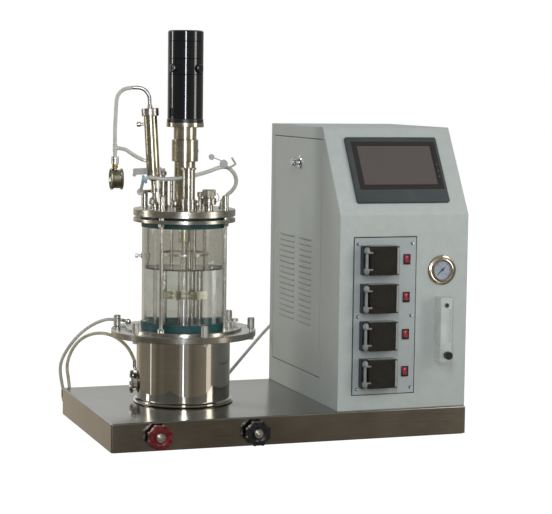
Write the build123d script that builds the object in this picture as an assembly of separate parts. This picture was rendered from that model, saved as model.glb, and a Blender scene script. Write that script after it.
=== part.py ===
from build123d import *
import math
import os

# Bench bioreactor, millimetres. The origin is the centre of the base's footprint on the bench:
# X runs along the base to the right, Y to the back and Z up.

# Base box
BASE_L, BASE_W, BASE_H = 750.0, 430.0, 58.0
SHEET = 2.0
PLATE = 1.5

# Vessel axis, and how far its lid is clocked from the base's front
VESSEL_X, VESSEL_Y = -167.0, 5.0
LID_TURN = 16.4

# Heights on the vessel
JACKET_R = 96.5
FLANGE_R, FLANGE_Z, FLANGE_T = 149.0, 195.0, 12.7
FLANGE_TOP = FLANGE_Z + FLANGE_T
RAISED_R, RAISED_TOP = 120.0, 212.0
POT_R, POT_WALL, POT_FLOOR = 82.0, 1.8, 92.0
GLASS_R, GLASS_WALL = 86.7, 5.0
GLASS_Z0, GLASS_Z1 = 214.0, 428.0
RING_R, RING_Z0, RING_Z1 = 104.8, 430.1, 437.7
LID_Z0, LID_Z1 = 442.3, 456.3
LIQUID_Z = 334.0
ROD_PCR, ROD_R = 94.4, 4.0
ROD_ANGLES = [45, 135, 225, 315]
NUT_PCR = 141.5
NUT_LIFTS = {31: 3.5, 91: 0.0, 151: 1.3, 211: 2.4, 271: 0.8, 331: 5.7}

# Stirrer and drive
SHAFT_R = 6.0
IMPELLER_HEIGHTS, IMPELLER_R = [150.0, 279.0], 36.0
HOUSING_R, HOUSING_TOP = 21.4, 553.0
SLEEVE_R, SLEEVE_TOP = 27.0, 598.6
ADAPTER_TOP = 632.0
MOTOR_R, MOTOR_TOP = 36.3, 819.0

# Cabinet: folded sheet with a sloped upper front
CAB_X0, CAB_X1 = 94.4, 375.0
CAB_Y0, CAB_Y1 = -206.5, 215.0
CAB_TOP, SHOULDER_Z, SLOPE_TOP_Y = 627.0, 454.0, -98.0
PUMP_HEIGHTS = [363.7, 286.8, 211.0, 134.9]
PUMP_W, PUMP_H = 75.0, 59.0
PUMP_X = CAB_X0 + 44.0
ROTOR_X = CAB_X0 + 89.0
SWITCH_X = CAB_X0 + 145.0
PANEL_X0, PANEL_X1, PANEL_Z0, PANEL_Z1 = CAB_X0 + 31.5, CAB_X0 + 165.0, 90.7, 408.0
PANEL_FACE = CAB_Y0 - 1.0

# Hand wheels on the base's front
WHEEL_R, WHEEL_Y = 26.0, -232.0
RED_WHEEL = (-281.5, 30.0)
BLACK_WHEEL = (-82.0, 28.0)

# Elbows on the base's back wall
REAR_FITTINGS = [-368.0, -354.0]
REAR_FITTING_Y, REAR_FITTING_Z, REAR_FITTING_TOP = 239.0, 30.0, 50.0

FROM_BELOW = (Align.CENTER, Align.CENTER, Align.MIN)


def post(x, y, z0, z1, r):
    """Upright round bar between two heights."""
    return Pos(x, y, z0) * Cylinder(r, z1 - z0, align=FROM_BELOW)


def ring(x, y, z0, z1, r_out, r_in):
    """Flat ring between two heights."""
    return post(x, y, z0, z1, r_out) - post(x, y, z0 - 1, z1 + 1, r_in)


def hex_nut(x, y, z0, z1, across_flats):
    """Hexagon nut or head between two heights."""
    return Pos(x, y, z0) * extrude(RegularPolygon(across_flats / 2, 6, major_radius=False), z1 - z0)


def block(x0, x1, y0, y1, z0, z1):
    """Rectangular block between its two corners."""
    return Pos((x0 + x1) / 2, (y0 + y1) / 2, (z0 + z1) / 2) * Box(x1 - x0, y1 - y0, z1 - z0)


def turned(outline, x=0.0, y=0.0):
    """Turned part: an outline of (radius, height) points spun about an upright axis."""
    half = make_face(Polyline(*[(r, 0, z) for r, z in outline], close=True))
    return Pos(x, y, 0) * revolve(half, Axis.Z)


def bar(start, end, r):
    """Round bar between two points."""
    a, b = Vector(*start), Vector(*end)
    return Plane(origin=a, z_dir=b - a) * Cylinder(r, (b - a).length, align=FROM_BELOW)


def bent_pipe(points, bend, r):
    """Pipe along straight runs with the same bend at each corner."""
    path = FilletPolyline(*points, radius=bend)
    return sweep(Plane(origin=path @ 0, z_dir=path % 0) * Circle(r), path)


def around(radius, degrees):
    """Place on the vessel at a radius and an angle from +X."""
    a = math.radians(degrees)
    return VESSEL_X + radius * math.cos(a), VESSEL_Y + radius * math.sin(a)


def lid_at(right, front):
    """Place on the vessel, to the right and front of its axis in the lid's turned sense."""
    a = math.radians(LID_TURN)
    x = VESSEL_X + right * math.cos(a) - front * math.sin(a)
    y = VESSEL_Y - right * math.sin(a) - front * math.cos(a)
    return x, y


def lid_point(right, front, z):
    """Point above the lid in the lid's turned sense."""
    return (*lid_at(right, front), z)


LID_RIGHT = Vector(math.cos(math.radians(LID_TURN)), -math.sin(math.radians(LID_TURN)), 0)
LID_FRONT = Vector(-math.sin(math.radians(LID_TURN)), -math.cos(math.radians(LID_TURN)), 0)


# Base ---------------------------------------------------------------------------------------

def base_tray():
    """Box folded from polished sheet, open below inside a narrow lip."""
    bend = 3.0
    lip = 15.0
    outer = block(-BASE_L / 2, BASE_L / 2, -BASE_W / 2, BASE_W / 2, PLATE, BASE_H)
    outer = fillet(outer.edges().filter_by(Axis.Z) + outer.faces().sort_by(Axis.Z)[-1].edges(), bend)
    inner = block(-BASE_L / 2 + SHEET, BASE_L / 2 - SHEET, -BASE_W / 2 + SHEET, BASE_W / 2 - SHEET,
                  PLATE + SHEET, BASE_H - SHEET)
    mouth = block(-BASE_L / 2 + lip, BASE_L / 2 - lip, -BASE_W / 2 + lip, BASE_W / 2 - lip,
                  0, BASE_H / 2)
    tray = outer - inner - mouth
    for x, z in (RED_WHEEL, BLACK_WHEEL):
        tray -= bar((x, -BASE_W / 2 - 5, z), (x, -BASE_W / 2 + 5, z), 6.2)
    for x in REAR_FITTINGS:
        tray -= bar((x, BASE_W / 2 - 5, REAR_FITTING_Z), (x, BASE_W / 2 + 5, REAR_FITTING_Z), 4.2)
    return tray


def base_plate():
    """Flat closing plate that the base stands on."""
    plate = block(-BASE_L / 2 + 3, BASE_L / 2 - 3, -BASE_W / 2 + 3, BASE_W / 2 - 3, 0, PLATE)
    return fillet(plate.edges().filter_by(Axis.Z), 4)


def rear_fittings():
    """Two brass elbows through the rear wall, turned up to take the jacket hoses."""
    group = []
    for x in REAR_FITTINGS:
        elbow = bent_pipe([(x, BASE_W / 2 - 6, REAR_FITTING_Z), (x, REAR_FITTING_Y, REAR_FITTING_Z),
                           (x, REAR_FITTING_Y, REAR_FITTING_TOP)], 6, 4)
        nut = bar((x, BASE_W / 2, REAR_FITTING_Z), (x, BASE_W / 2 + 5, REAR_FITTING_Z), 6.6)
        group.append(elbow + nut)
    return group


def valve_bodies():
    """Two globe valves behind the front wall, each with its pipe to the rear wall."""
    group = []
    rear_y = BASE_W / 2 - 8
    for (x, z), rear_x in zip((RED_WHEEL, BLACK_WHEEL), REAR_FITTINGS):
        bonnet = bar((x, -BASE_W / 2 + SHEET + 0.3, z), (x, -190, z), 10)
        body = Pos(x, -178, z) * Sphere(16)
        bore = bar((x, -BASE_W / 2, z), (x, -170, z), 4.1)
        pipe = bent_pipe([(x, -170, z), (x, -60, z), (rear_x + 12, 120, REAR_FITTING_Z),
                          (rear_x, rear_y - 20, REAR_FITTING_Z), (rear_x, rear_y, REAR_FITTING_Z)],
                         14, 4)
        group.append((bonnet + body + pipe) - bore)
    return group


def hand_wheel(x, z):
    """Lobed plastic hand wheel with its stem and cap nut, turning about Y."""
    lobes = 8
    rim = Circle(WHEEL_R - 2.5)
    for k in range(lobes):
        a = 2 * math.pi * (k + 0.5) / lobes
        rim += Pos((WHEEL_R - 5) * math.cos(a), (WHEEL_R - 5) * math.sin(a)) * Circle(5)
        b = 2 * math.pi * k / lobes
        rim -= Pos((WHEEL_R + 3) * math.cos(b), (WHEEL_R + 3) * math.sin(b)) * Circle(5.5)
    wheel = extrude(rim, 7, both=True)
    ends = wheel.faces().sort_by(Axis.Z)
    wheel = chamfer(ends[0].edges() + ends[-1].edges(), 1.2)
    wheel -= Pos(0, 0, 7) * turned([(0, -4), (10, -4), (17, 1), (0, 1)])
    for k in range(lobes):
        a = 2 * math.pi * (k + 0.5) / lobes
        wheel -= Pos(18.5 * math.cos(a), 18.5 * math.sin(a), 5) * Cylinder(2.6, 8)
    nut = Pos(0, 0, 3) * Cylinder(8.6, 3, align=FROM_BELOW)
    nut += Pos(0, 0, 6) * Cylinder(6, 6, align=FROM_BELOW)
    nut = nut + Pos(0, 0, 12) * extrude(RegularPolygon(3.4, 6), 1.6)
    stem = Pos(0, 0, -56) * Cylinder(4, 52, align=FROM_BELOW)
    hub = Pos(0, 0, -13) * Cylinder(8, 8, align=FROM_BELOW)
    turned_wheel = wheel + nut + stem + hub
    return Plane(origin=(x, WHEEL_Y, z), x_dir=(1, 0, 0), z_dir=(0, -1, 0)) * turned_wheel


# Vessel -------------------------------------------------------------------------------------

PORT_ANGLE, PORT_Z = 163.4, 96.0
JACKET_NOZZLES = [(148.0, 118.0), (18.0, 83.0)]
FLANGE_NOZZLE_ANGLE, FLANGE_NOZZLE_R = 138.4, 128.0


def radial(r0, r1, degrees, z, r):
    """Round bar pointing straight out from the vessel axis."""
    return bar((*around(r0, degrees), z), (*around(r1, degrees), z), r)


def jacket():
    """Water jacket: rolled drum on a double-beaded foot, with its nozzles welded on."""
    wall = JACKET_R - 2
    foot = [(wall, BASE_H), (JACKET_R + 4, BASE_H), (JACKET_R + 6.9, BASE_H + 1.6),
            (JACKET_R + 4.2, BASE_H + 3.6), (JACKET_R + 6, BASE_H + 5.6), (JACKET_R + 3, BASE_H + 8),
            (JACKET_R, BASE_H + 9)]
    drum = turned(foot + [(JACKET_R, FLANGE_Z), (wall, FLANGE_Z), (wall, 72), (0, 72), (0, 70),
                          (wall, 70)], VESSEL_X, VESSEL_Y)
    side_port = radial(wall, 102.2, PORT_ANGLE, PORT_Z, 19)
    side_port -= radial(wall - 5, 103, PORT_ANGLE, PORT_Z, 17)
    drum -= radial(wall - 5, 103, PORT_ANGLE, PORT_Z, 17)
    nozzle_angle, nozzle_z = JACKET_NOZZLES[0]
    elbow = bent_pipe([(*around(wall, nozzle_angle), nozzle_z),
                       (*around(105.5, nozzle_angle), nozzle_z),
                       (*around(105.5, nozzle_angle), nozzle_z + 17)], 5, 3.5)
    nozzle_angle, nozzle_z = JACKET_NOZZLES[1]
    stub = bar((*around(wall - 2, nozzle_angle), nozzle_z), RIGHT_HOSE[0], 3.0)
    return drum + side_port + elbow + stub


def port_clamp():
    """Round clamp ring with its cap, closing the jacket's side port."""
    clamp = turned([(0, 0), (22.5, 0), (24, 1.5), (24, 6), (22, 8), (9, 8), (8, 6.5), (0, 6.5)])
    x, y = around(102.4, PORT_ANGLE)
    outward = Vector(math.cos(math.radians(PORT_ANGLE)), math.sin(math.radians(PORT_ANGLE)), 0)
    return Plane(origin=(x, y, PORT_Z), z_dir=outward) * clamp


def inner_pot():
    """Steel pot with a dished floor, welded under its wide bolting flange."""
    bore = POT_R - POT_WALL
    dish = 10.0
    outline = [(0, POT_FLOOR - dish - POT_WALL), (30, POT_FLOOR - dish * 0.86 - POT_WALL),
               (60, POT_FLOOR - dish * 0.46 - POT_WALL), (POT_R - 4, POT_FLOOR - POT_WALL),
               (POT_R, POT_FLOOR + 5), (POT_R, FLANGE_Z), (FLANGE_R - 0.8, FLANGE_Z),
               (FLANGE_R, FLANGE_Z + 0.8), (FLANGE_R, FLANGE_TOP - 0.8),
               (FLANGE_R - 0.8, FLANGE_TOP), (RAISED_R, FLANGE_TOP), (RAISED_R, RAISED_TOP - 0.8),
               (RAISED_R - 0.8, RAISED_TOP), (bore, RAISED_TOP), (bore, POT_FLOOR + 5),
               (bore - 4, POT_FLOOR), (60, POT_FLOOR - dish * 0.46), (30, POT_FLOOR - dish * 0.86),
               (0, POT_FLOOR - dish)]
    pot = turned(outline, VESSEL_X, VESSEL_Y)
    for angle in NUT_LIFTS:
        pot -= post(*around(NUT_PCR, angle), FLANGE_Z - 1, FLANGE_TOP + 1, 3.6)
    for angle in ROD_ANGLES:
        pot -= post(*around(ROD_PCR, angle), FLANGE_TOP - 4, RAISED_TOP + 1, ROD_R + 0.1)
    x, y = around(FLANGE_NOZZLE_R, FLANGE_NOZZLE_ANGLE)
    nozzle = post(x, y, FLANGE_TOP - 1, 214.5, 6) + bar((x, y, 214.5), OUTER_HOSE[0], 3.5)
    nozzle += Pos(x, y, 214.5) * Sphere(5.5)
    return pot + nozzle


def flange_studs():
    """Six studs through the flange, each with a hexagon head below it."""
    group = []
    for angle, lift in NUT_LIFTS.items():
        x, y = around(NUT_PCR, angle)
        stud = post(x, y, FLANGE_Z, FLANGE_TOP + lift + 9, 3.5)
        group.append(stud + hex_nut(x, y, FLANGE_Z - 5, FLANGE_Z, 11))
    return group


def flange_nuts():
    """Six tall round nuts, cross drilled for a tommy bar; most stand off the flange."""
    group = []
    for angle, lift in NUT_LIFTS.items():
        x, y = around(NUT_PCR, angle)
        z = FLANGE_TOP + lift
        nut = turned([(3.6, 0), (6.4, 0), (7.2, 0.8), (7.2, 21.2), (6.4, 22), (0, 22), (0, 9.2),
                      (3.6, 9.2)], x, y)
        nut = Pos(0, 0, z) * nut
        group.append(nut - radial(NUT_PCR - 10, NUT_PCR + 10, angle + 3, z + 15, 1.75))
    return group


def thumb_screw(x, y, z, direction, reach, stem_r, head_r, head_t):
    """Slim screw with a round milled head, from its seat outwards."""
    stem = Cylinder(stem_r, reach + 1, align=FROM_BELOW)
    head = Pos(0, 0, reach) * Cylinder(head_r, head_t, align=FROM_BELOW)
    for k in range(12):
        a = math.radians(30 * k)
        head -= Pos(head_r * math.cos(a), head_r * math.sin(a), reach + head_t / 2) * Cylinder(0.7, 20)
    return Plane(origin=(x, y, z), z_dir=direction) * (stem + head)


def gaskets():
    """Two channel gaskets that hold the glass's ends, and the flat one under the lid."""
    inner, outer = POT_R - POT_WALL, GLASS_R + 1.5
    fit = 0.1
    low = turned([(inner, RAISED_TOP), (outer, RAISED_TOP), (outer, 224), (GLASS_R + fit, 224),
                  (GLASS_R + fit, GLASS_Z0), (GLASS_R - GLASS_WALL - fit, GLASS_Z0),
                  (GLASS_R - GLASS_WALL - fit, 224), (inner, 224)], VESSEL_X, VESSEL_Y)
    high = turned([(inner, RING_Z0), (outer, RING_Z0), (outer, 419.4), (GLASS_R + fit, 419.4),
                   (GLASS_R + fit, GLASS_Z1), (GLASS_R - GLASS_WALL - fit, GLASS_Z1),
                   (GLASS_R - GLASS_WALL - fit, 419.4), (inner, 419.4)], VESSEL_X, VESSEL_Y)
    flat = ring(VESSEL_X, VESSEL_Y, RING_Z1, LID_Z0, 88, 80.5)
    return [low, high, flat]


def glass_cylinder():
    """Open glass tube with ground ends."""
    tube = ring(VESSEL_X, VESSEL_Y, GLASS_Z0, GLASS_Z1, GLASS_R, GLASS_R - GLASS_WALL)
    return chamfer(tube.edges().filter_by(GeomType.CIRCLE), 0.6)


def upper_ring():
    """Clamping ring that the tie rods pass through."""
    plate = ring(VESSEL_X, VESSEL_Y, RING_Z0, RING_Z1, RING_R, 80.2)
    plate = chamfer(plate.edges().filter_by(GeomType.CIRCLE), 0.6)
    for angle in ROD_ANGLES:
        plate -= post(*around(ROD_PCR, angle), RING_Z0 - 1, RING_Z1 + 1, ROD_R + 0.3)
    return plate


def tie_rods():
    """Four rods from the pot's raised ring up through the lid."""
    return [post(*around(ROD_PCR, angle), FLANGE_TOP - 4, LID_Z1 + 12, ROD_R)
            for angle in ROD_ANGLES]


def rod_nuts():
    """Each rod's nuts: foot nut with collar, nut below the ring, jam nut, tall nut on the lid."""
    group = []
    bore = ROD_R + 0.1
    for angle in ROD_ANGLES:
        x, y = around(ROD_PCR, angle)
        foot = turned([(bore, RAISED_TOP), (7.5, RAISED_TOP), (7.5, 216.2), (6, 218), (bore, 218)],
                      x, y)
        under = hex_nut(x, y, RING_Z0 - 6.5, RING_Z0, 13) - post(x, y, RING_Z0 - 8, RING_Z0 + 1, bore)
        clear_of_gasket = post(VESSEL_X, VESSEL_Y, RAISED_TOP, RING_Z0, GLASS_R + 1.8)
        foot -= clear_of_gasket
        under -= clear_of_gasket
        jam = ring(x, y, RING_Z1, LID_Z0, 6.0, bore)
        tall = Pos(0, 0, LID_Z1) * turned([(bore, 0), (7.6, 0), (7.6, 3), (6.8, 3.4), (6.8, 28.5),
                                           (5.6, 30), (0, 30), (0, 12.4), (bore, 12.4)], x, y)
        group += [foot, under, jam, tall]
    return group


CLIP_ANGLE, CLIP_Z = 135, 354.0


def thumb_screws():
    """Flange thumb screw, and the clip on the rear left rod with its own thumb screw."""
    x, y = lid_at(106, -30)
    flange_screw = thumb_screw(x, y, RAISED_TOP, (0, 0, 1), 7, 2.2, 7.9, 6)
    rod_x, rod_y = around(ROD_PCR, CLIP_ANGLE)
    clip = ring(rod_x, rod_y, CLIP_Z - 6, CLIP_Z + 6, 7, ROD_R + 0.1)
    a = Vector(rod_x, rod_y, CLIP_Z) - LID_RIGHT * 6.5
    clip += thumb_screw(a.X, a.Y, a.Z, LID_RIGHT * -1, 6, 2.2, 5, 6)
    return [flange_screw, clip]


BAFFLE_R, BAFFLE_W, BAFFLE_T = 50.0, 6.0, 1.5
BAFFLE_ANGLES = [-8, 82, 172, 262]
BAFFLE_Z0, BAFFLE_Z1, LOWER_HOOP_Z = 86.2, 366.0, 111.0


def baffle_strips(grow=0.0):
    """Four upright strips, set edge-on to the wall, that stand on the pot's floor."""
    strips = []
    for angle in BAFFLE_ANGLES:
        strip = Pos(BAFFLE_R - BAFFLE_W / 2, 0, (BAFFLE_Z0 + BAFFLE_Z1) / 2) * Box(
            BAFFLE_W + 2 * grow, BAFFLE_T + 2 * grow, BAFFLE_Z1 - BAFFLE_Z0 + 2 * grow)
        strips.append(Pos(VESSEL_X, VESSEL_Y, 0) * Rot(0, 0, angle) * strip)
    return strips


def baffle_hoops(grow=0.0):
    """Upper and lower hoop that carry the strips."""
    hoops = []
    for z in (LOWER_HOOP_Z, BAFFLE_Z1 - 5):
        hoops.append(ring(VESSEL_X, VESSEL_Y, z - grow, z + 5 + grow, BAFFLE_R + 1.5 + grow,
                          BAFFLE_R - 0.2 - grow))
    return hoops


def baffle_cage():
    """Baffle strips welded inside their two hoops."""
    cage = baffle_hoops()[0]
    for piece in baffle_hoops()[1:] + baffle_strips():
        cage += piece
    return cage


DIP_TUBES = {"sparger": (11, -42, 125.0), "thermowell": (21, -39, 200.0), "harvest": (-27, -34, 135.0)}
SPARGE_RING_R, SPARGE_Z = 40.0, 125.0


def dip_tubes(grow=0.0):
    """Three tubes hanging from the lid; the sparger ends in a ring below the impellers."""
    group = []
    for name, (right, front, foot) in DIP_TUBES.items():
        tube = post(*lid_at(right, front), foot - grow, LID_Z0, 4 + grow)
        if name == "sparger":
            tube += Pos(VESSEL_X, VESSEL_Y, SPARGE_Z) * Torus(SPARGE_RING_R, 3 + grow)
        group.append(tube)
    return group


def shaft_bar(grow=0.0):
    """Stirrer shaft's plain bar."""
    return post(VESSEL_X, VESSEL_Y, 132 - grow, HOUSING_TOP + 12, SHAFT_R + grow)


def stirrer_shaft():
    """Ground shaft with a chamfered foot."""
    shaft = shaft_bar()
    return chamfer(shaft.edges().sort_by(Axis.Z)[0], 1)


def impellers():
    """Two six-bladed disc impellers on set-screw hubs."""
    group = []
    for z in IMPELLER_HEIGHTS:
        wheel = Cylinder(10, 16) + Cylinder(24, 2)
        for k in range(6):
            wheel += Rot(0, 0, 60 * k - 6) * Pos(IMPELLER_R - 9.5, 0, 0) * Box(19, 1.5, 16)
        wheel -= Cylinder(SHAFT_R + 0.02, 20)
        wheel -= Rot(0, 0, 24) * Pos(8, 0, 5) * Rot(0, 90, 0) * Cylinder(1.6, 6)
        group.append(Pos(VESSEL_X, VESSEL_Y, z) * wheel)
    return group


def culture_liquid():
    """The culture, filling the pot and glass up to its level, round everything in it."""
    gap = 0.4
    bore = POT_R - POT_WALL - gap
    inside = GLASS_R - GLASS_WALL - gap
    body = turned([(0, POT_FLOOR - 9), (30, POT_FLOOR - 7.6), (60, POT_FLOOR - 3.6),
                   (bore - 5, POT_FLOOR + 1), (bore, POT_FLOOR + 6), (bore, 225), (inside, 225),
                   (inside, LIQUID_Z), (0, LIQUID_Z)], VESSEL_X, VESSEL_Y)
    body -= post(VESSEL_X, VESSEL_Y, 131, LIQUID_Z + 1, SHAFT_R + gap)
    for z in IMPELLER_HEIGHTS:
        body -= post(VESSEL_X, VESSEL_Y, z - 8.5, z + 8.5, IMPELLER_R + 0.7)
    for piece in baffle_strips(gap) + baffle_hoops(gap) + dip_tubes(gap):
        body -= piece
    return body


# Drive --------------------------------------------------------------------------------------

def bearing_housing():
    """Seal housing below the lid and bearing housing above it, bored for the shaft."""
    bore = SHAFT_R + 0.05
    return turned([(bore, 375), (8, 375), (8, 385), (11.5, 386), (11.5, LID_Z1), (25, LID_Z1),
                   (25, LID_Z1 + 4.5), (22.5, LID_Z1 + 6), (22.5, LID_Z1 + 9), (HOUSING_R, LID_Z1 + 10),
                   (HOUSING_R, HOUSING_TOP - 1), (HOUSING_R - 1, HOUSING_TOP), (bore, HOUSING_TOP)],
                  VESSEL_X, VESSEL_Y)


def drive_sleeve():
    """Sleeve between the housing and the adapter, with a lip at each end and set screws."""
    inside, lip_r, lip_t = SLEEVE_R - 3.0, 18.0, 4.0
    body = turned([(lip_r, HOUSING_TOP), (SLEEVE_R - 1, HOUSING_TOP), (SLEEVE_R, HOUSING_TOP + 1),
                   (SLEEVE_R, SLEEVE_TOP - 2), (SLEEVE_R - 2, SLEEVE_TOP), (lip_r, SLEEVE_TOP),
                   (lip_r, SLEEVE_TOP - lip_t), (inside, SLEEVE_TOP - lip_t),
                   (inside, HOUSING_TOP + lip_t), (lip_r, HOUSING_TOP + lip_t)], VESSEL_X, VESSEL_Y)
    for angle in (-16, 104, 224):
        body += radial(SLEEVE_R - 1, SLEEVE_R + 1.6, angle, HOUSING_TOP + 22, 2.6)
        body -= radial(SLEEVE_R, SLEEVE_R + 3, angle, HOUSING_TOP + 22, 1.2)
    return body


def shaft_coupling():
    """Rigid coupling inside the sleeve, with the motor's output shaft."""
    hub_foot, hub_top = HOUSING_TOP + 4, ADAPTER_TOP - 24
    hub = post(VESSEL_X, VESSEL_Y, hub_foot, hub_top, 14)
    hub = chamfer(hub.edges().filter_by(GeomType.CIRCLE), 1)
    hub -= post(VESSEL_X, VESSEL_Y, hub_foot - 1, HOUSING_TOP + 12.2, SHAFT_R + 0.02)
    return hub + post(VESSEL_X, VESSEL_Y, hub_top - 1, ADAPTER_TOP + 4, 4)


def motor_adapter():
    """Adapter tube with a round plate that the motor bolts to."""
    tube_r, plate_r, plate_z = 23.4, 38.2, ADAPTER_TOP - 9
    adapter = turned([(17, SLEEVE_TOP), (tube_r, SLEEVE_TOP), (tube_r, plate_z), (plate_r - 1, plate_z),
                      (plate_r, plate_z + 1), (plate_r, ADAPTER_TOP), (12, ADAPTER_TOP),
                      (12, plate_z), (17, plate_z)], VESSEL_X, VESSEL_Y)
    x, y = lid_at(0, 30)
    return adapter - bar((x, y, plate_z - 4), (VESSEL_X, VESSEL_Y, plate_z - 4), 1.6)


BRUSH_ANGLES = [-149, -59, 31, 121]
BRUSH_Z, BRUSH_R = 742.5, 9.0


def motor():
    """Cylindrical motor with a collar at its foot and fine joint lines round it."""
    collar_top = ADAPTER_TOP + 8
    outline = [(6, ADAPTER_TOP), (MOTOR_R + 1, ADAPTER_TOP), (MOTOR_R + 1, collar_top - 1),
               (MOTOR_R, collar_top)]
    for z in (730.0, 762.0, 797.0):
        outline += [(MOTOR_R, z - 0.6), (MOTOR_R - 0.7, z), (MOTOR_R, z + 0.6)]
    outline += [(MOTOR_R, MOTOR_TOP - 2.5), (MOTOR_R - 2.5, MOTOR_TOP), (20, MOTOR_TOP),
                (19, MOTOR_TOP - 1.5), (0, MOTOR_TOP - 1.5), (0, ADAPTER_TOP + 6),
                (6, ADAPTER_TOP + 6)]
    body = turned(outline, VESSEL_X, VESSEL_Y)
    for angle in BRUSH_ANGLES:
        body -= radial(MOTOR_R - 5, MOTOR_R + 5, angle, BRUSH_Z, BRUSH_R + 0.2)
    return body


def brush_caps():
    """Four slotted screw caps over the motor's brushes."""
    group = []
    for angle in BRUSH_ANGLES:
        x, y = around(MOTOR_R - 5, angle)
        a = math.radians(angle)
        cap = Cylinder(BRUSH_R, 11, align=FROM_BELOW)
        cap = chamfer(cap.faces().sort_by(Axis.Z)[-1].edges(), 1.5)
        cap -= Pos(0, 0, 11) * Box(1.6, 2 * BRUSH_R - 5, 3)
        group.append(Plane(origin=(x, y, BRUSH_Z), z_dir=(math.cos(a), math.sin(a), 0)) * cap)
    return group


# Lid and its fittings -----------------------------------------------------------------------

BARB = (75.5, -8.5)
BARB_TOP = 470.0
INOCULATION = (49.6, 46.0)
ELECTRODE = (8.0, 50.0)
CONDENSER_FOOT = (-60.0, 8.0)
CONDENSER_LEAN = 3.3
CONDENSER_R = 13.5
REAR_PORT = (-64.0, -26.0)


def on_lid(place, outline):
    """Turned part standing on the lid: outline heights count from the lid's top."""
    return Pos(0, 0, LID_Z1) * turned(outline, *lid_at(*place))


def lid():
    """Thick lid with the port necks welded on it."""
    plate = ring(VESSEL_X, VESSEL_Y, LID_Z0, LID_Z1, RING_R, 11.6)
    plate = chamfer(plate.edges().filter_by(GeomType.CIRCLE).group_by(
        SortBy.RADIUS)[-1], 0.8)
    for angle in ROD_ANGLES:
        plate -= post(*around(ROD_PCR, angle), LID_Z0 - 1, LID_Z1 + 1, ROD_R + 0.3)
    plate += on_lid(ELECTRODE, [(0, -1), (13.6, -1), (13.6, 2), (14.6, 3), (14.6, 21.5), (13.6, 22.5),
                                (0, 22.5)])
    plate += on_lid(INOCULATION, [(0, -1), (8.6, -1), (8.6, 10.5), (10, 11.5), (14, 11.5),
                                  (14.9, 12.4), (14.9, 23.6), (14, 24.5), (0, 24.5)])
    plate += on_lid(BARB, [(0, -1), (5.5, -1), (5.5, 4), (4, 5), (4, 7), (3.2, 7),
                           (3.2, BARB_TOP - LID_Z1 - 2), (2.6, BARB_TOP - LID_Z1), (0, BARB_TOP - LID_Z1)])
    plate += on_lid((-19, 34), [(0, -1), (5, -1), (5, 4), (0, 4)])
    plate += on_lid((-44, -14), [(0, -1), (11, -1), (11, 6), (9.5, 7.5), (9.5, 58), (8, 59.5), (0, 59.5)])
    plate += on_lid((-27, -34), [(0, -1), (6, -1), (6, 3), (4, 4), (4, 55), (0, 55)])
    plate += on_lid((-66, 28), [(0, -1), (5, -1), (5, 3), (3.4, 4), (3.4, 10), (0, 10)])
    plate += on_lid((32, -40), [(0, -1), (6, -1), (6, 4), (4, 5), (4, 22), (0, 22)])
    plate += on_lid((22, 30), [(0, -1), (4.5, -1), (4.5, 6), (3, 7), (3, 13), (0, 13)])
    plate += on_lid(REAR_PORT, [(0, -1), (6, -1), (6, 8), (4, 9), (4, 24), (0, 24)])
    boss = turned([(0, -2), (8, -2), (8, 11), (5, 15), (5, 20), (3.6, 22), (3.6, 25.7), (0, 25.7)])
    return plate + condenser_frame() * boss


def condenser_frame():
    """Plane at the condenser's foot, along its slightly leaning axis."""
    lean = math.radians(CONDENSER_LEAN)
    up = Vector(0, 0, 1)
    return Plane(origin=lid_point(*CONDENSER_FOOT, LID_Z1),
                 x_dir=LID_RIGHT * math.cos(lean) + up * math.sin(lean),
                 z_dir=up * math.cos(lean) - LID_RIGHT * math.sin(lean))


def lid_fittings():
    """Screwed fittings on the lid: two ball nuts, blanking nuts and the rear port's elbow."""
    ball = on_lid((-19, 34), [(0, 4), (4.5, 4), (6.8, 7), (7.8, 11.4), (6.8, 15.8), (4.5, 18.4),
                              (0, 19.2)])
    second = on_lid((-66, 28), [(0, 10), (6.2, 10), (6.6, 13), (6.6, 16), (5.5, 20), (3, 23), (0, 23.6)])
    cap = on_lid((32, -40), [(0, 22), (6, 22), (6, 31), (5, 32), (0, 32)])
    plug = on_lid((22, 30), [(0, 13), (5, 13), (5, 18), (4, 19), (0, 19)])
    elbow = bent_pipe([lid_point(*REAR_PORT, LID_Z1 + 24), lid_point(*REAR_PORT, 490),
                       lid_point(-87, -12, 490)], 8, 3)
    knob = on_lid((-44, -14), [(0, 59.5), (4, 59.5), (4, 66), (7, 68), (7, 73), (5, 75.5), (0, 76)])
    return [ball, second, cap, plug, elbow, knob]


def electrode_sleeve():
    """Tall electrode sleeve with a collar at its top."""
    return on_lid(ELECTRODE, [(0, 22.5), (12.5, 22.5), (12.5, 81.4), (15.5, 82.4), (15.5, 85),
                              (14.5, 86), (0, 86)])


def inoculation_cap():
    """Knurled screw cap on the inoculation port."""
    cap = on_lid(INOCULATION, [(0, 24.8), (11, 24.8), (11, 28.5), (13.7, 28.5), (13.7, 40.8),
                               (12.6, 42), (0, 42)])
    x, y = lid_at(*INOCULATION)
    for k in range(24):
        a = math.radians(15 * k)
        cap -= Pos(x + 13.9 * math.cos(a), y + 13.9 * math.sin(a), LID_Z1 + 35) * Cylinder(0.8, 13)
    return cap


def cap_wire():
    """Wire bail that keeps the inoculation cap with its port."""
    s, d = INOCULATION
    return bent_pipe([lid_point(s + 15, d, LID_Z1 + 18), lid_point(s + 19.5, d, LID_Z1 + 18),
                      lid_point(s + 20, d, LID_Z1 + 29), lid_point(s + 15.8, d, LID_Z1 + 35)], 3, 0.9)


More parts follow.
